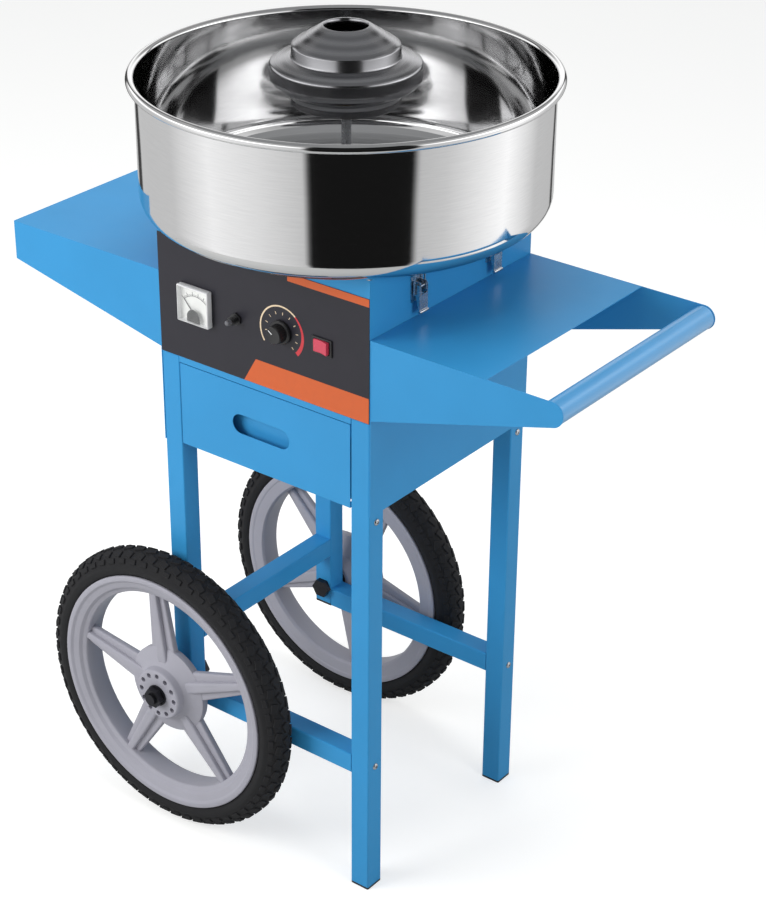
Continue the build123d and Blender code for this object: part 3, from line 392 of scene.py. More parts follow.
def make_finishes():
    tint = colours()

    # Baked polyester enamel on steel sheet: semi-gloss, with a faint orange peel about 3 mm apart.
    patterned(
        "paint", "baked_enamel_blue", tones(tint.paint, 0.93, 1.05), (90 * MM, 2.0), (0.27, 0.37), (25 * MM,),
        (3.0 * MM, 1.0, 0.02 * MM, 0.35), metallic=0.0, ior=1.5, specular_ior_level=0.16)

    # The same enamel on the push handle, rubbed glossy by hands: a bright soft line along the tube.
    patterned(
        "worn_paint", "baked_enamel_blue_rubbed", tones(tint.paint, 0.95, 1.06), (40 * MM, 2.0), (0.30, 0.42), None,
        (3.0 * MM, 1.0, 0.02 * MM, 0.3), metallic=0.0, ior=1.5, coat_weight=0.9, coat_roughness=0.3)

    # Mirror-polished stainless steel: sharp reflections, with fine polishing lines round the bowl.
    tree, surface = patterned(
        "stainless", "polished_stainless", (linear("#D2D2D3"), linear("#E2E2E2")), (30 * MM, 4.0, (1, 1, 24)),
        (0.035, 0.10), metallic=1.0)
    bumped(tree, surface, grain(tree, 90 * MM, 1.0, (1, 1, 0.5)), 0.2 * MM, 0.15)

    # Spun aluminium: satin, with lathe rings about 0.8 mm apart, drawn at 2 mm so that they show.
    FINISHES["spun"], tree, surface = shader("spun_aluminium", metallic=1.0)
    where = add(tree, "ShaderNodeTexCoord").outputs["Object"]
    mid = add(
        tree, "ShaderNodeMapping", {"vector_type": "POINT"},
        {"Location": (-HEAD_AXIS.x, -HEAD_AXIS.y, 0.0)}, {"Vector": where})
    rings = add(
        tree, "ShaderNodeTexWave", {"wave_type": "RINGS", "rings_direction": "Z"},
        {"Scale": 1.0 / (2.0 * MM) / 20.0, "Distortion": 0.4}, {"Vector": mid.outputs[0]})
    rings = rings.outputs["Fac"]
    tree.links.new(mixed(tree, rings, linear("#929295"), linear("#ADADB0")), surface.inputs["Base Color"])
    tree.links.new(spread(tree, rings, 0.20, 0.30), surface.inputs["Roughness"])
    bumped(tree, surface, rings, 0.03 * MM, 0.3)

    # Zinc-plated steel: bright grey with soft clouding.
    patterned(
        "zinc", "zinc_plated_steel", (linear("#A9ABAF"), linear("#D6D7DA")), (6 * MM, 4.0), (0.18, 0.36), None,
        (0.8 * MM, 3.0, 0.01 * MM, 0.3), metallic=1.0)

    # Blackened spring steel and carbon: dark, half matt.
    patterned(
        "dark", "blackened_steel", (linear("#26262A"), linear("#3A3A3F")), (4 * MM,), (0.3, 0.5), None,
        (0.7 * MM, 3.0, 0.01 * MM, 0.3), metallic=0.8)

    # Moulded polypropylene: semi-matt, with a fine spark texture and slight flow marks.
    patterned(
        "wheel", "moulded_polypropylene_grey", tones(tint.wheel, 0.90, 1.06), (60 * MM, 3.0), (0.38, 0.52),
        (12 * MM,), (1.2 * MM, 2.0, 0.04 * MM, 0.4), ior=1.49, specular_ior_level=0.45)

    # Vulcanised rubber: nearly black and matt, a little greyer where dust settles.
    patterned(
        "tyre", "tyre_rubber", tones(tint.tyre, 0.75, 1.35), (22 * MM, 5.0), (0.62, 0.85), None,
        (1.6 * MM, 3.0, 0.12 * MM, 0.5), ior=1.52, specular_ior_level=0.35)

    # Screen-printed polyester film: charcoal, with a fine satin emboss.
    patterned(
        "film", "embossed_polyester_film", tones(tint.panel, 0.92, 1.08), (45 * MM,), (0.36, 0.46), (8 * MM,),
        (0.9 * MM, 1.0, 0.015 * MM, 0.4), ior=1.5, specular_ior_level=0.3)

    # Screen-printed inks: even colour with a slightly uneven lay.
    for name, text in (
            ("ink_orange", tint.accent), ("ink_red", "#C8323C"), ("ink_cream", "#E6CFAE"), ("ink_black", "#1C1C1E")):
        patterned(name, "screen_print_" + name, tones(text, 0.94, 1.05), (9 * MM, 3.0), (0.34, 0.44), ior=1.5)

    # Injection-moulded ABS and phenolic: smooth plastics with a faint moulded texture.
    for name, text, rough in (
            ("black_plastic", "#1B1B1D", (0.30, 0.42)), ("white_plastic", "#E9E9EA", (0.24, 0.34)),
            ("dial_white", "#F3F3F0", (0.55, 0.65)), ("red_plastic", tint.rocker, (0.16, 0.24)),
            ("grey_plastic", "#6B6B70", (0.40, 0.50))):
        patterned(
            name, "moulded_" + name, tones(text, 0.94, 1.05), (14 * MM, 2.0), rough, None,
            (0.8 * MM, 1.0, 0.01 * MM, 0.3), ior=1.5)

    # Clear acrylic: a thin window with a few hairline marks.
    FINISHES["clear"], tree, surface = shader("clear_acrylic", ior=1.49, alpha=0.12)
    surface.inputs["Base Color"].default_value = linear("#FAFCFC")
    tree.links.new(spread(tree, grain(tree, 5 * MM, 4.0), 0.0, 0.06), surface.inputs["Roughness"])

    # Turned brass on the slip rings: yellow, with running marks.
    patterned(
        "brass", "turned_brass", (linear("#A8894A"), linear("#D4B673")), (3 * MM, 3.0, (0.1, 0.1, 6)), (0.2, 0.4),
        metallic=1.0)

    # Vibration-mount rubber: matt black.
    patterned(
        "rubber", "mount_rubber", (linear("#161617"), linear("#252527")), (4 * MM,), (0.8, 0.8), None,
        (1.0 * MM, 3.0, 0.03 * MM, 0.4), ior=1.52)


# ---------------- painted frame and sheet metal

PAINTED = (
    "leg_front_right", "leg_rear_right", "leg_front_left", "leg_rear_left", "side_braces", "cross_brace",
    "side_panel_right", "side_panel_left", "rear_panel", "cart_top", "drawer_tray", "machine_front",
    "machine_sides", "machine_rear", "shelf_left", "shelf_right", "drawer_front")

PLAIN_NODES = {
    "zinc": ("drawer_rails", "base_plate", "spinner_shaft", "motor_plate", "bowl_hooks"),
    "spun": ("top_deck",),
    "film": ("control_panel",),
    "black_plastic": ("leg_end_caps", "cable_gland", "speed_control", "brush_holder", "motor"),
    "dark": ("axle_hardware", "heater_band", "carbon_brushes", "meter_pointer"),
    "brass": ("slip_rings",),
    "rubber": ("rubber_mounts",),
    "clear": ("meter_lens",),
}


def dress_node(node, look, width):
    """Give a CAD node its material, and round its edges with modifiers that leave its mesh alone."""
    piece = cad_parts[node]
    piece.data.materials.clear()
    piece.data.materials.append(FINISHES[look])
    if not width:
        return
    add_modifier(piece, "WELD", merge_threshold=0.000002)
    add_modifier(piece, "DECIMATE", decimate_type="DISSOLVE", angle_limit=math.radians(0.5))
    add_modifier(
        piece, "BEVEL", width=width, segments=2, limit_method="ANGLE", angle_limit=math.radians(40),
        harden_normals=True)


class CANDY_OT_frame(bpy.types.Operator):
    """Paint the legs, braces, panels and the machine's shell, and finish the plain inner parts"""
    bl_idname = "candy.frame"
    bl_label = "Painted frame"

    def execute(self, context):
        for node in PAINTED:
            dress_node(node, "paint", sizes().edge_round)
        for look, nodes in PLAIN_NODES.items():
            for node in nodes:
                dress_node(node, look, 0.0)
        return {"FINISHED"}


# ---------------- bowl

BOWL_BEAD_OUT = 10 * MM      # how far the rim's bead stands out from the wall
BOWL_CORNER_R = 27 * MM
BOWL_HOLE_R = 98 * MM        # hole for the head, with a collar round it
BOWL_COLLAR_H = 16 * MM
BOWL_RING_R = 196 * MM       # where the ring pressed into the floor starts


class CANDY_OT_bowl(bpy.types.Operator):
    """Spin the steel bowl: floor with a pressed ring, large corner, straight wall and rolled bead"""
    bl_idname = "candy.bowl"
    bl_label = "Bowl"

    def execute(self, context):
        low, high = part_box("bowl")
        wall = sizes().bowl_wall
        bead = sizes().bead_radius
        rim_r = (high.x - low.x) / 2
        wall_r = rim_r - BOWL_BEAD_OUT
        bend = wall_r - BOWL_CORNER_R
        floor_z = low.z
        floor_top = floor_z + wall
        collar_z = floor_z + BOWL_COLLAR_H
        fold_r = 3 * MM
        bead_x = rim_r - bead
        bead_z = high.z - bead
        middle_z = floor_z + 100 * MM
        outline = [(BOWL_HOLE_R + wall, collar_z)]
        outline += arc(BOWL_HOLE_R + wall + fold_r, floor_top + fold_r, fold_r, 180, 270, 4)
        outline += [(BOWL_RING_R, floor_top)]
        outline += arc(BOWL_RING_R + 6 * MM, floor_top - 1.5 * MM, 4.2 * MM, 150, 30, 6)
        outline += [(BOWL_RING_R + 12 * MM, floor_top)]
        outline += arc(bend, floor_z + BOWL_CORNER_R, BOWL_CORNER_R - wall, -90, 0, 10)
        outline += [(wall_r - wall, middle_z), (wall_r - wall, bead_z)]
        outline += arc(bead_x, bead_z, bead, 170, -160, 22)
        outline += [(wall_r, bead_z - bead), (wall_r, middle_z)]
        outline += list(reversed(arc(bend, floor_z + BOWL_CORNER_R, BOWL_CORNER_R, -90, 0, 10)))
        outline += [(BOWL_HOLE_R, floor_z), (BOWL_HOLE_R, collar_z)]
        bowl = turned("bowl_spun", outline, 192)
        place(bowl, ON_HEAD_AXIS)
        settle(bowl, "cart", "stainless", ("bowl",), 40)
        return {"FINISHED"}


# ---------------- spinning head

BORE_R = 6 * MM
FOOT_R = 66 * MM             # the dish's flat foot
DRUM_R = 65 * MM             # the lid's drum
DRUM_H = 26 * MM             # from the lid's seam to the drum's edge
MOUTH_R = 26 * MM            # where the sugar goes in


class CANDY_OT_head(bpy.types.Operator):
    """Turn the two halves of the spinning head: the dish with its wide ring and the cone with the sugar mouth"""
    bl_idname = "candy.head"
    bl_label = "Spinning head"

    def execute(self, context):
        base_low, base_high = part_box("head_base")
        cap_low, cap_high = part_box("head_cap")
        ring_r = (base_high.x - base_low.x) / 2
        foot_z = base_low.z
        seam_z = base_high.z
        dish = [(BORE_R, foot_z), (FOOT_R - 1 * MM, foot_z), (FOOT_R, foot_z + 1 * MM)]
        dish += [(FOOT_R, foot_z + 8 * MM), (FOOT_R + 2 * MM, foot_z + 10 * MM)]
        dish += [(FOOT_R + 3 * MM, foot_z + 14 * MM)]
        dish += arc(ring_r - 14 * MM, seam_z - 10 * MM, 14 * MM, -75, 0, 8)
        dish += [(ring_r, seam_z), (ring_r - 2.5 * MM, seam_z)]
        dish += [(ring_r - 2.5 * MM, seam_z - 10 * MM), (ring_r - 10 * MM, foot_z + 23 * MM)]
        dish += [(FOOT_R, foot_z + 17 * MM), (28 * MM, foot_z + 12 * MM), (18 * MM, seam_z - 5 * MM)]
        dish += [(BORE_R, seam_z - 5 * MM)]
        base = turned("head_dish", dish, 128)
        place(base, ON_HEAD_AXIS)
        settle(base, "spinner", "spun", ("head_base",), 35)

        cap_z = cap_low.z + DRUM_H
        top_z = cap_high.z
        lid = [(ring_r, seam_z)]
        lid += arc(ring_r - 5 * MM, seam_z + 1 * MM, 5 * MM, 0, 60, 4)
        lid += [(DRUM_R + 6 * MM, seam_z + 9 * MM), (DRUM_R + 1 * MM, seam_z + 11 * MM), (DRUM_R, seam_z + 13 * MM)]
        lid += [(DRUM_R, cap_z - 2 * MM), (DRUM_R - 0.6 * MM, cap_z - 0.5 * MM)]
        lid += [(DRUM_R - 2.8 * MM, cap_z + 1.2 * MM)]
        lid += [(MOUTH_R + 5 * MM, top_z - 1 * MM), (MOUTH_R + 3 * MM, top_z), (MOUTH_R + 1 * MM, top_z)]
        lid += [(MOUTH_R, top_z - 1.5 * MM), (MOUTH_R, top_z - 5 * MM), (DRUM_R - 8 * MM, cap_z - 2 * MM)]
        lid += [(DRUM_R - 3 * MM, cap_z - 4 * MM), (DRUM_R - 3 * MM, seam_z + 8 * MM), (DRUM_R + 3 * MM, seam_z)]
        cap = turned("head_lid", lid, 128)
        place(cap, ON_HEAD_AXIS)
        settle(cap, "spinner", "spun", ("head_cap",), 35)
        return {"FINISHED"}


# ---------------- wheels

SPOKES = 5
RIM_BORE_R = 143 * MM        # inner edge of the rim, where the arms end
TYRE_SEAT_R = 160 * MM
RIM_HALF_W = 22 * MM
AXLE_BORE_R = 8.06 * MM
HUB_WEB_R = 62 * MM
POCKETS = 12
POCKET_RING_R = 28.5 * MM
POCKET_R = 3.6 * MM
TREAD_PITCHES = 60
TREAD_ROWS = (               # degrees off the crown, width, share of the pitch, offset in pitches, twist in degrees
    (0, 9.0 * MM, 0.66, 0.0, 22), (34, 9.0 * MM, 0.60, 0.5, -18), (-34, 9.0 * MM, 0.60, 0.5, -18),
    (63, 7.0 * MM, 0.50, 0.0, 0), (-63, 7.0 * MM, 0.50, 0.0, 0))


def wheel_matrix(name, side):
    """Local Z points away from the cart."""
    middle = centre("wheel_" + name)
    return Matrix.Translation(middle) @ turned_about("X", -90 * side)


def spoke(name, root_w, tip_w, thickness, inner, outer, rounding):
    """One tapered arm along local X, made from a block whose far end is narrowed."""
    arm = block(name, (inner, -root_w / 2, -thickness / 2), (outer, root_w / 2, thickness / 2))
    for vertex in arm.data.vertices:
        if vertex.co.x > (inner + outer) / 2:
            vertex.co.y *= tip_w / root_w
    soften(arm, rounding, 3)
    return arm


def wheel(name, start_deg):
    """A moulded wheel: rim with a stepped face, five ribbed arms, a star web and a hub with a ring of pockets."""
    low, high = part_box("wheel_" + name)
    rim_r = (high.x - low.x) / 2
    hub_half = (high.y - low.y) / 2
    left = -RIM_HALF_W
    right = RIM_HALF_W
    rim = [(RIM_BORE_R, left + 5 * MM), (RIM_BORE_R + 3 * MM, left + 1 * MM), (rim_r - 9 * MM, left + 1 * MM)]
    rim += [(rim_r - 7 * MM, left), (rim_r - 1 * MM, left), (rim_r, left + 1 * MM)]
    rim += [(rim_r, left + 4 * MM), (TYRE_SEAT_R, left + 5 * MM), (TYRE_SEAT_R, right - 5 * MM)]
    rim += [(rim_r, right - 4 * MM), (rim_r, right - 1 * MM), (rim_r - 1 * MM, right)]
    rim += [(rim_r - 7 * MM, right), (rim_r - 10 * MM, right - 3 * MM), (RIM_BORE_R + 9 * MM, right - 5 * MM)]
    rim += [(RIM_BORE_R + 6 * MM, right - 9 * MM), (RIM_BORE_R + 1 * MM, right - 11 * MM)]
    rim += [(RIM_BORE_R, right - 13 * MM)]
    body = turned("wheel_shell_" + name, rim, 160)
    soften(body, 0.8 * MM, 2, 25)

    hub = [(AXLE_BORE_R, -hub_half), (20 * MM, -hub_half), (24 * MM, -hub_half + 4 * MM), (30 * MM, -12 * MM)]
    hub += [(HUB_WEB_R, -5 * MM), (HUB_WEB_R, 5 * MM), (46 * MM, 8 * MM), (37 * MM, 14 * MM)]
    hub += [(36 * MM, hub_half - 2 * MM), (34 * MM, hub_half), (AXLE_BORE_R, hub_half)]
    core = turned("hub", hub, 96)
    soften(core, 1.0 * MM, 2, 25)
    arms = []
    for k in range(SPOKES):
        turn = turned_about("Z", start_deg + 360 / SPOKES * k)
        flat = spoke("arm", 46 * MM, 26 * MM, 9 * MM, 30 * MM, RIM_BORE_R + 4 * MM, 2.5 * MM)
        rib = spoke("rib", 17 * MM, 11 * MM, 21 * MM, 28 * MM, RIM_BORE_R + 5 * MM, 3 * MM)
        carve(flat, rib, "UNION")
        place(flat, turn)
        arms.append(flat)
    for arm in arms:
        carve(core, arm, "UNION")
    carve(body, core, "UNION")

    pockets = []
    for x, y in round_row(POCKET_RING_R, POCKETS):
        bpy.ops.mesh.primitive_cylinder_add(
            vertices=20, radius=POCKET_R, depth=14 * MM, location=(x, y, hub_half))
        pockets.append(named("pocket"))
    tool = joined(pockets, "pockets")
    apply_place(tool)
    carve(body, tool)
    return body


def tyre(name):
    """A round-crowned carcass with rows of shallow tread blocks that reach the CAD tyre's outer radius."""
    low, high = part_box("tyre_" + name)
    outer = (high.z - low.z) / 2
    half = (high.y - low.y) / 2
    flank = outer - half
    base = half - sizes().tread_depth
    bead = RIM_HALF_W - 4.5 * MM
    section = [(TYRE_SEAT_R, -bead), (170 * MM, -bead), (171.5 * MM, -bead - 2 * MM), (175 * MM, -half + 0.8 * MM)]
    section += [(flank - 1 * MM, -half), (flank + 1 * MM, -half + 0.3 * MM)]
    section += arc(flank, 0, base, -78, 78, 22)
    section += [(r, -h) for r, h in reversed(section[:6])]
    carcass = turned("tyre_carcass_" + name, section, 160)
    pieces = [carcass]
    pitch = 2 * math.pi * outer / TREAD_PITCHES
    for lean_out, across, along, shift, twist in TREAD_ROWS:
        lug = block(
            "lug", (base - 2 * MM, -pitch * along / 2, -across / 2), (half, pitch * along / 2, across / 2))
        place(lug, turned_about("X", twist))
        soften(lug, 0.7 * MM, 1)
        place(lug, Matrix.Translation((flank, 0, 0)) @ turned_about("Y", -lean_out))
        for k in range(TREAD_PITCHES):
            twin = copied(lug, "lug")
            twin.data.transform(Matrix.Rotation(2 * math.pi * (k + shift) / TREAD_PITCHES, 4, "Z"))
            pieces.append(twin)
        bpy.data.objects.remove(lug)
    return joined(pieces, "tyre_carcass_" + name)


class CANDY_OT_wheels(bpy.types.Operator):
    """Build both moulded wheels and their treaded tyres"""
    bl_idname = "candy.wheels"
    bl_label = "Wheels and tyres"

    def execute(self, context):
        for name, side, start in (("front", -1, 24.0), ("rear", 1, 10.0)):
            body = name + "_wheel"
            shell = wheel(name, start)
            place(shell, wheel_matrix(name, side))
            settle(shell, body, "wheel", ("wheel_" + name,), 32)
            rubber = tyre(name)
            place(rubber, wheel_matrix(name, side))
            settle(rubber, body, "tyre", ("tyre_" + name,), 35)
        return {"FINISHED"}


# ---------------- handle and screws

class CANDY_OT_handle(bpy.types.Operator):
    """Turn the push handle with flat, chamfered ends"""
    bl_idname = "candy.handle"
    bl_label = "Push handle"

    def execute(self, context):
        low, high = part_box("push_handle")
        radius = (high.z - low.z) / 2
        half = (high.y - low.y) / 2
        outline = [(0.1 * MM, -half), (radius - 1 * MM, -half), (radius, -half + 1 * MM)]
        outline += [(radius, half - 1 * MM), (radius - 1 * MM, half), (0.1 * MM, half)]
        tube = turned("handle_tube", outline, 64)
        place(tube, facing(*(low + high) / 2))
        settle(tube, "cart", "worn_paint", ("push_handle",))
        return {"FINISHED"}


SCREW_HEAD_T = 2.4 * MM


def pan_head():
    """A pan head screw with a cross recess; its seat is on Z = 0 and its shank points down."""
    outline = [(0.05 * MM, SCREW_HEAD_T), (2.2 * MM, 2.3 * MM), (3.6 * MM, 1.8 * MM), (4.3 * MM, 1.0 * MM)]
    outline += [(4.5 * MM, 0.3 * MM), (4.4 * MM, 0), (2.0 * MM, 0), (2.0 * MM, -7.4 * MM)]
    outline += [(1.4 * MM, -8.0 * MM), (0.05 * MM, -8.0 * MM)]
    screw = turned("screw", outline, 24)
    for turn in (0, 90):
        slot_tool = block("recess", (-2.2 * MM, -0.45 * MM, 1.2 * MM), (2.2 * MM, 0.45 * MM, 3.0 * MM))
        place(slot_tool, turned_about("Z", turn))
        carve(screw, slot_tool)
    return screw


def screw_places():
    """Where the heads sit and which way they point, from the separate shells of the CAD screws."""
    twin = copied(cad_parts["screws"], "screw_shells")
    twin.parent = None
    pick(twin)
    edit_all()
    bpy.ops.mesh.remove_doubles(threshold=0.00001)
    bpy.ops.mesh.separate(type="LOOSE")
    bpy.ops.object.mode_set(mode="OBJECT")
    places = []
    for shell in list(bpy.context.selected_objects):
        points = [vertex.co for vertex in shell.data.vertices]
        low, high = (Vector([end(p[k] for p in points) for k in range(3)]) for end in (min, max))
        span = high - low
        axis = max(range(3), key=lambda k: span[k])
        middle = (low + high) / 2
        wide = [p for p in points if math.dist(
            [p[k] for k in range(3) if k != axis], [middle[k] for k in range(3) if k != axis]) > 3 * MM]
        sign = 1 if sum(p[axis] for p in wide) / len(wide) > middle[axis] else -1
        seat = middle.copy()
        seat[axis] = (high[axis] - SCREW_HEAD_T) if sign > 0 else (low[axis] + SCREW_HEAD_T)
        places.append((seat, axis, sign))
        bpy.data.objects.remove(shell)
    return places


class CANDY_OT_screws(bpy.types.Operator):
    """Model one pan head screw and copy it to every place that the frame has one"""
    bl_idname = "candy.screws"
    bl_label = "Screws"

    def execute(self, context):
        model = pan_head()
        pieces = []
        for count, (seat, axis, sign) in enumerate(screw_places()):
            direction = Vector((0, 0, 0))
            direction[axis] = sign
            turn = direction.to_track_quat("Z", "Y").to_matrix().to_4x4()
            twist = turned_about("Z", 17 * count)
            twin = copied(model, "screw_copy")
            twin.data.transform(Matrix.Translation(seat) @ turn @ twist)
            pieces.append(twin)
        bpy.data.objects.remove(model)
        group = joined(pieces, "pan_head_screws")
        settle(group, "cart", "zinc", ("screws",))
        return {"FINISHED"}


# ---------------- control panel

PRINT_MARGIN = 0.3 * MM


def printed(name, outline, ink, x, z):
    """A patch of ink on the panel."""
    piece = plate(name, outline, sizes().print_lift)
    place(piece, facing(x, PANEL_Y, z))
    settle(piece, "cart", ink)
    return piece


def ring_outline(inner, outer, start, end, count, taper=0.0):
    """An arc-shaped band; taper is the share of its width left at the start."""
    middle = (inner + outer) / 2
    half = (outer - inner) / 2
    top = []
    low = []
    for k, (x, y) in enumerate(arc(0, 0, 1, start, end, count)):
        wide = half * (taper + (1 - taper) * k / count) if taper else half
        top.append(((middle + wide) * x, (middle + wide) * y))
        low.append(((middle - wide) * x, (middle - wide) * y))
    return top + list(reversed(low))


def tick_outline(degrees, inner, outer, half):
    """A straight mark along a radius."""
    angle = math.radians(degrees)
    along = Vector((math.cos(angle), math.sin(angle)))
    side = Vector((-math.sin(angle), math.cos(angle))) * half
    corners = [along * inner + side, along * outer + side, along * outer - side, along * inner - side]
    return [(p.x, p.y) for p in corners]


class CANDY_OT_panel(bpy.types.Operator):
    """Lay the coloured print on the control panel: two orange fields, and the heat scale round the knob"""
    bl_idname = "candy.panel"
    bl_label = "Panel print"

    def execute(self, context):
        low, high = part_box("control_panel")
        middle = (low.x + high.x) / 2
        right = high.x - PRINT_MARGIN
        top = high.z - PRINT_MARGIN
        bottom = low.z + PRINT_MARGIN
        stripe = high.z - 10 * MM
        stripe_left = middle + 42 * MM
        corners = [(stripe_left, stripe), (right, stripe), (right, top), (stripe_left, top)]
        printed("print_top_stripe", corners, "ink_orange", 0, 0)
        block_left = middle - 28 * MM
        block_top = low.z + 33 * MM
        corners = [(block_left, bottom), (right, bottom), (right, block_top), (block_left + 19 * MM, block_top)]
        printed("print_title_block", corners, "ink_orange", 0, 0)
        knob = centre("heat_knob")
        printed("print_scale_low", ring_outline(31.5 * MM, 33.5 * MM, 215, 50, 40), "ink_cream", knob.x, knob.z)
        printed("print_scale_high", ring_outline(29.5 * MM, 35.0 * MM, 50, -45, 30, 0.35), "ink_red", knob.x, knob.z)
        for k in range(11):
            tick = tick_outline(215 - 26 * k, 22 * MM, 25.5 * MM, 0.45 * MM)
            printed(f"print_tick_{k}", tick, "ink_cream", knob.x, knob.z)
        return {"FINISHED"}


# ---------------- meter

DIAL_T = 0.25 * MM
DIAL_GAP = 0.2 * MM          # between the dial and the meter's frame
INK_T = 0.05 * MM


class CANDY_OT_meter(bpy.types.Operator):
    """Build the panel meter: moulded frame, paper dial with a scale, and the dark cover over its movement"""
    bl_idname = "candy.meter"
    bl_label = "Meter"

    def execute(self, context):
        low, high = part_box("meter_lens")
        case_low, case_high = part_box("meter_case")
        wall = 1.6 * MM
        back = PANEL_Y
        front = case_low.y
        shell = block("meter_frame", case_low, (case_high.x, back, case_high.z), wall, 3)
        well = block(
            "well", (case_low.x + wall, front - 1 * MM, case_low.z + wall),
            (case_high.x - wall, back - 2 * MM, case_high.z - wall), 0.8 * MM, 2)
        carve(shell, well)
        middle = centre("meter_case")
        barrel = rod("barrel", 18.9 * MM, case_high.y - back, 64, (0, 0, 0))
        place(barrel, facing(middle.x, (case_high.y + back) / 2, middle.z))
        soften(barrel, 0.8 * MM)
        carve(shell, barrel, "UNION")
        settle(shell, "cart", "white_plastic", ("meter_case",), 32)

        dial_y = back - 2 * MM
        pivot_z = case_low.z + 9 * MM
        face = block(
            "meter_dial", (low.x + DIAL_GAP, dial_y - DIAL_T, low.z + DIAL_GAP),
            (high.x - DIAL_GAP, dial_y, high.z - DIAL_GAP), 0.05 * MM, 1)
        settle(face, "cart", "dial_white")

        flat = facing(middle.x, dial_y - DIAL_T, pivot_z)
        marks = [plate("meter_scale", ring_outline(25.5 * MM, 26.2 * MM, 135, 45, 30), INK_T)]
        for k in range(26):
            long_mark = k % 5 == 0
            reach = (31 if long_mark else 28.5) * MM
            half = (0.5 if long_mark else 0.28) * MM
            marks.append(plate("mark", tick_outline(135 - 90 * k / 25, 26 * MM, reach, half), INK_T))
        scale = joined(marks, "meter_scale")
        place(scale, flat)
        settle(scale, "cart", "ink_black")

        cover_outline = [(-10 * MM, -6.5 * MM), (10 * MM, -6.5 * MM)] + arc(0, 0, 10 * MM, 0, 180, 24)
        cover = plate("meter_movement_cover", cover_outline, 1.6 * MM)
        soften(cover, 0.5 * MM, 2)
        place(cover, Matrix.Translation((0, -3.9 * MM, 0)) @ flat)
        settle(cover, "cart", "black_plastic")
        return {"FINISHED"}


# ---------------- knob, breaker and switch

KNOB_FLUTES = 24
BUTTON_BORE_R = 3.3 * MM
SLEEVE_R = 5.5 * MM


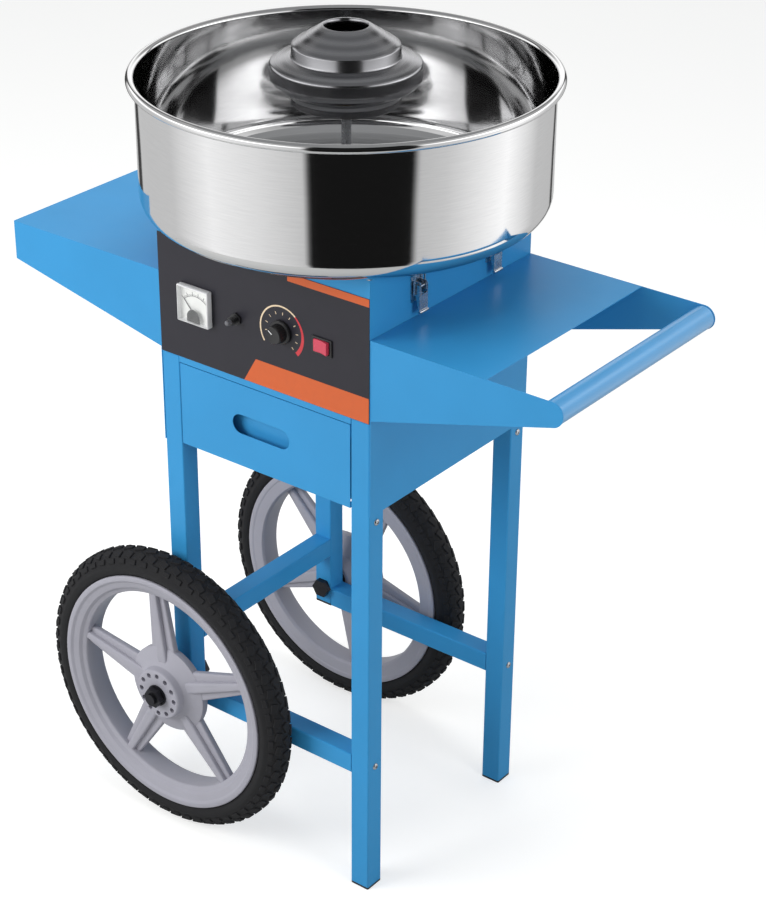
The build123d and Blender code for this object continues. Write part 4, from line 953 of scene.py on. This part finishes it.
class CANDY_OT_controls(bpy.types.Operator):
    """Build the heat knob, the breaker with its reset button, and the rocker switch"""
    bl_idname = "candy.controls"
    bl_label = "Knob, breaker and switch"

    def execute(self, context):
        low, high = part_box("heat_knob")
        middle = (low + high) / 2
        radius = (high.x - low.x) / 2
        back = PANEL_Y - 1 * MM
        height = back - low.y
        outline = [(3.0 * MM, 0), (radius, 0), (radius, 2.2 * MM), (radius - 0.8 * MM, 3.2 * MM)]
        outline += [(radius - 3 * MM, 3.8 * MM), (radius - 3.8 * MM, height - 1.2 * MM), (radius - 5 * MM, height)]
        outline += [(radius - 6.5 * MM, height - 0.4 * MM), (0.1 * MM, height - 0.6 * MM)]
        outline += [(0.1 * MM, -12 * MM), (3.0 * MM, -12 * MM)]
        knob = turned("knob_body", outline, 96)
        flute_r = radius - 2.6 * MM
        for x, y in round_row(flute_r, KNOB_FLUTES):
            carve(knob, rod("flute", 1.0 * MM, height, 12, (x, y, height / 2 + 4.6 * MM)))
        turn = facing(middle.x, back, middle.z)
        place(knob, turn)
        settle(knob, "heat_knob", "black_plastic", ("heat_knob",))
        line = block(
            "knob_pointer", (-0.6 * MM, 2.5 * MM, height - 0.7 * MM),
            (0.6 * MM, radius - 5.2 * MM, height - 0.2 * MM), 0.1 * MM, 1)
        place(line, turn @ turned_about("Z", 55))
        settle(line, "heat_knob", "white_plastic")

        low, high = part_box("breaker_body")
        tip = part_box("breaker_button")
        middle = (tip[0] + tip[1]) / 2
        proud = PANEL_Y - low.y
        outline = [(BUTTON_BORE_R, -3 * MM), (BUTTON_BORE_R, proud), (SLEEVE_R - 0.8 * MM, proud)]
        outline += [(SLEEVE_R, proud - 0.8 * MM)]
        thread = proud - 2 * MM
        while thread > 3.5 * MM:
            outline += [(SLEEVE_R - 0.5 * MM, thread), (SLEEVE_R, thread - 0.5 * MM)]
            thread -= 1.0 * MM
        outline += [(SLEEVE_R, 0), (SLEEVE_R, -3 * MM)]
        sleeve = turned("breaker_sleeve", outline, 48)
        nut = rod("nut", 8.2 * MM, 3 * MM, 6, (0, 0, 1.5 * MM))
        soften(nut, 0.4 * MM)
        carve(sleeve, nut, "UNION")
        turn = facing(middle.x, PANEL_Y, middle.z)
        outline = [(0.05 * MM, -8 * MM), (BUTTON_BORE_R, -8 * MM), (BUTTON_BORE_R, 13 * MM), (0.05 * MM, 13 * MM)]
        bore = turned("bore", outline, 48)
        well = copied(bore, "well")
        carve(sleeve, bore)
        place(sleeve, turn)
        place(well, turn)
        case = block("case", (low.x, PANEL_Y + 2 * MM, low.z), (high.x, high.y, high.z), 1 * MM)
        carve(case, well)
        sleeve = joined([sleeve, case], "breaker_sleeve")
        settle(sleeve, "cart", "black_plastic", ("breaker_body",), 32)

        reach = PANEL_Y - tip[0].y
        radius = (tip[1].x - tip[0].x) / 2
        outline = [(0.1 * MM, 0), (radius, 0), (radius, reach - 1 * MM), (radius - 1 * MM, reach - 0.1 * MM)]
        outline += [(0.1 * MM, reach)]
        button = turned("reset_button_cap", outline, 40)
        place(button, turn)
        settle(button, "reset_button", "grey_plastic", ("breaker_button",), 32)

        low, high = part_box("switch_housing")
        bezel = block("switch_bezel", low, (high.x, PANEL_Y, high.z), 0.9 * MM, 3)
        middle = (low + high) / 2
        inside = block(
            "case", (middle.x - 13.3 * MM, PANEL_Y - 1 * MM, middle.z - 9.3 * MM),
            (middle.x + 13.3 * MM, high.y, middle.z + 9.3 * MM), 0.5 * MM)
        carve(bezel, inside, "UNION")
        well = block(
            "well", (middle.x - 12.0 * MM, low.y - 1 * MM, middle.z - 8.5 * MM),
            (middle.x + 12.0 * MM, PANEL_Y + 8 * MM, middle.z + 8.5 * MM), 0.4 * MM)
        carve(bezel, well)
        settle(bezel, "cart", "black_plastic", ("switch_housing",), 32)

        rock = copied(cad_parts["rocker_switch"], "rocker_cap")
        rock.parent = None
        pick(rock)
        edit_all()
        bpy.ops.mesh.remove_doubles(threshold=0.00001)
        bpy.ops.mesh.dissolve_limited(angle_limit=math.radians(1))
        bpy.ops.object.mode_set(mode="OBJECT")
        soften(rock, 0.9 * MM, 3, 20)
        settle(rock, "rocker", "red_plastic", ("rocker_switch",), 40)
        return {"FINISHED"}


# ---------------- latches

class CANDY_OT_latches(bpy.types.Operator):
    """Finish the four draw latches in zinc: bases, levers and wire loops"""
    bl_idname = "candy.latches"
    bl_label = "Latches"

    def execute(self, context):
        for side in ("right", "left"):
            for end in ("front", "rear"):
                key = side + "_" + end
                dress_node("latch_lever_" + key, "zinc", 0.25 * MM)
                dress_node("latch_loop_" + key, "zinc", 0.0)
        dress_node("latch_bases", "zinc", 0.25 * MM)
        return {"FINISHED"}


# ---------------- stage

CAMERA_AZIMUTH = 37.48
CAMERA_ELEVATION = 28.12
CAMERA_ROLL = 0.41
CAMERA_DISTANCE = 2.930
CAMERA_AIM_Z = 0.450
CAMERA_SHIFT_RIGHT = 0.047
CAMERA_SHIFT_UP = 0.070
CAMERA_LENS = 90.1


def camera_turn():
    azimuth = turned_about("Z", CAMERA_AZIMUTH)
    tilt = turned_about("X", 90 - CAMERA_ELEVATION)
    roll = turned_about("Z", CAMERA_ROLL)
    return azimuth @ tilt @ roll


LIGHT_AIM = Vector((0, 0, 0.6))
FLOOR_GLOW = 0.58            # keeps the floor white for the camera only
SKY_LIGHT = 0.46
SKY_MIRRORED = 0.34          # the sky's strength in reflections
SKY_SEEN = 0.7               # added for the camera, so that the background stays white
REFLECTOR_RADIUS = 1.25
REFLECTOR_HEIGHT = 2.4
REFLECTOR_STOPS = (          # degrees round from the camera's side, brightness
    (-180, 0.60), (-150, 0.55), (-148, 0.06), (-140, 0.06), (-138, 0.66), (-98, 0.74), (-70, 1.20), (-42, 0.98),
    (-19.5, 0.74), (-16.5, 0.01), (33, 0.01), (36, 0.68), (50, 0.78), (88, 1.36), (116, 0.70), (143, 0.60),
    (144, 0.06), (149, 0.06), (150, 0.60), (180, 0.60))
UPPER_CLOTH_GAIN = 2.3       # the band above the bowl's height is brighter


def reflector():
    """A wall of light and dark cloths right round the cart: it is seen only in reflections."""
    deselect()
    bpy.ops.mesh.primitive_cylinder_add(
        vertices=96, radius=REFLECTOR_RADIUS, depth=REFLECTOR_HEIGHT, end_fill_type="NOTHING",
        location=(HEAD_AXIS.x, HEAD_AXIS.y, REFLECTOR_HEIGHT / 2 + 0.01))
    wall = named("reflector")
    wall.rotation_euler = (0, 0, math.radians(CAMERA_AZIMUTH))
    look = bpy.data.materials.new("reflector_cloth")
    look.use_nodes = True
    tree = look.node_tree
    tree.nodes.clear()
    where = add(tree, "ShaderNodeTexCoord").outputs["Object"]
    parts = add(tree, "ShaderNodeSeparateXYZ", links={"Vector": where})
    front = product(tree, parts.outputs["Y"], -1.0)
    angle = add(tree, "ShaderNodeMath", {"operation": "ARCTAN2"}, links={0: parts.outputs["X"], 1: front})
    share = add(
        tree, "ShaderNodeMapRange", sockets={"From Min": -math.pi, "From Max": math.pi},
        links={"Value": angle.outputs[0]})
    ramp = add(tree, "ShaderNodeValToRGB", links={"Fac": share.outputs[0]})
    stops = ramp.color_ramp.elements
    for k, (degrees, glow) in enumerate(REFLECTOR_STOPS):
        spot = (degrees + 180) / 360
        if k == 0:
            stop = stops[0]
        elif k == len(REFLECTOR_STOPS) - 1:
            stop = stops[len(stops) - 1]
        else:
            stop = stops.new(spot)
        stop.position = spot
        stop.color = (glow, glow, glow, 1)
    gain = add(
        tree, "ShaderNodeMapRange",
        sockets={"From Min": -0.12, "From Max": 0.08, "To Min": 1.0, "To Max": UPPER_CLOTH_GAIN},
        links={"Value": parts.outputs["Z"]})
    fade = add(
        tree, "ShaderNodeMapRange", sockets={"From Min": 0.24, "From Max": 0.40, "To Min": 1.0, "To Max": 0.3},
        links={"Value": parts.outputs["Z"]})
    level = product(tree, gain.outputs[0], fade.outputs[0])
    light = add(tree, "ShaderNodeEmission", links={"Color": ramp.outputs["Color"], "Strength": level})
    add(tree, "ShaderNodeOutputMaterial", links={"Surface": light.outputs[0]})
    wall.data.materials.append(look)
    for ray in ("camera", "diffuse", "shadow", "transmission"):
        setattr(wall, "visible_" + ray, False)


def softbox(name, width, height, spot, power):
    """A soft light that faces the middle of the cart and isn't seen in reflections."""
    deselect()
    bpy.ops.object.light_add(type="AREA", location=spot)
    lamp = bpy.context.active_object
    lamp.name = name
    lamp.data.shape = "RECTANGLE"
    lamp.data.size = width
    lamp.data.size_y = height
    lamp.data.energy = power
    lamp.visible_glossy = False
    lamp.rotation_euler = (LIGHT_AIM - Vector(spot)).to_track_quat("-Z", "Y").to_euler()


class CANDY_OT_stage(bpy.types.Operator):
    """Set the camera, the pale floor, the soft lights and the ring of cloths seen in reflections"""
    bl_idname = "candy.stage"
    bl_label = "Stage"

    def execute(self, context):
        scene = bpy.context.scene
        turn = camera_turn()
        right = turn.col[0].to_3d()
        up = turn.col[1].to_3d()
        back = turn.col[2].to_3d()
        aim = Vector((HEAD_AXIS.x, HEAD_AXIS.y, CAMERA_AIM_Z))
        spot = aim + right * CAMERA_SHIFT_RIGHT + up * CAMERA_SHIFT_UP + back * CAMERA_DISTANCE
        camera = bpy.data.objects.new("studio_camera", bpy.data.cameras.new("studio_camera"))
        scene.collection.objects.link(camera)
        camera.matrix_world = Matrix.Translation(spot) @ turn
        camera.data.lens = CAMERA_LENS
        camera.data.sensor_width = 36.0
        scene.camera = camera

        deselect()
        bpy.ops.mesh.primitive_plane_add(size=30, location=(0, 0, 0))
        floor = named("studio_floor")
        apply_place(floor)
        ground, tree, surface = shader("studio_paper", roughness=0.9, specular_ior_level=0.1)
        base = linear(colours().floor)
        tree.links.new(
            mixed(tree, grain(tree, 0.4, 2.0), shade(base, 0.985), base), surface.inputs["Base Color"])
        ray = add(tree, "ShaderNodeLightPath")
        surface.inputs["Emission Color"].default_value = (1, 1, 1, 1)
        lift = product(tree, ray.outputs["Is Camera Ray"], FLOOR_GLOW)
        tree.links.new(lift, surface.inputs["Emission Strength"])
        floor.data.materials.append(ground)

        world = bpy.data.worlds.new("studio_world")
        scene.world = world
        world.use_nodes = True
        tree = world.node_tree
        sky = tree.nodes["Background"]
        sky.inputs["Color"].default_value = linear("#F6F8FA")
        ray = add(tree, "ShaderNodeLightPath")
        glow = spread(tree, ray.outputs["Is Glossy Ray"], SKY_LIGHT, SKY_MIRRORED)
        seen = add(
            tree, "ShaderNodeMath", {"operation": "MULTIPLY_ADD"}, {1: SKY_SEEN},
            {0: ray.outputs["Is Camera Ray"], 2: glow})
        tree.links.new(seen.outputs[0], sky.inputs["Strength"])

        softbox("key_light", 1.7, 1.5, (-1.5, -2.2, 1.6), 58)
        softbox("side_light", 1.0, 1.6, (2.7, -0.3, 1.5), 22)
        softbox("top_light", 1.8, 1.8, (-0.3, 0.2, 3.4), 32)

        reflector()
        scene.view_settings.view_transform = "Standard"
        return {"FINISHED"}


# ---------------- panel, registration and run

STEPS = (
    "frame", "bowl", "head", "wheels", "handle", "screws", "panel", "meter", "controls", "latches", "stage")


class CANDY_PT_panel(bpy.types.Panel):
    """Buttons and settings for the cart"""
    bl_idname = "CANDY_PT_panel"
    bl_label = "Candy cart"
    bl_space_type = "VIEW_3D"
    bl_region_type = "UI"
    bl_category = "Candy cart"

    def draw(self, context):
        for group in (context.scene.candy_sizes, context.scene.candy_colours):
            for key in group.bl_rna.properties.keys():
                if key not in ("rna_type", "name"):
                    self.layout.prop(group, key)
        for step in STEPS:
            self.layout.operator("candy." + step)


CLASSES = (
    CandySizes, CandyColours, CANDY_OT_frame, CANDY_OT_bowl, CANDY_OT_head, CANDY_OT_wheels, CANDY_OT_handle,
    CANDY_OT_screws, CANDY_OT_panel, CANDY_OT_meter, CANDY_OT_controls, CANDY_OT_latches, CANDY_OT_stage,
    CANDY_PT_panel)


def register():
    for item in CLASSES:
        bpy.utils.register_class(item)
    bpy.types.Scene.candy_sizes = PointerProperty(type=CandySizes)
    bpy.types.Scene.candy_colours = PointerProperty(type=CandyColours)


def unregister():
    del bpy.types.Scene.candy_sizes
    del bpy.types.Scene.candy_colours
    for item in reversed(CLASSES):
        bpy.utils.unregister_class(item)


def main():
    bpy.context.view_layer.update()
    register()
    make_finishes()
    for step in STEPS:
        getattr(bpy.ops.candy, step)()


if __name__ == "__main__":
    main()
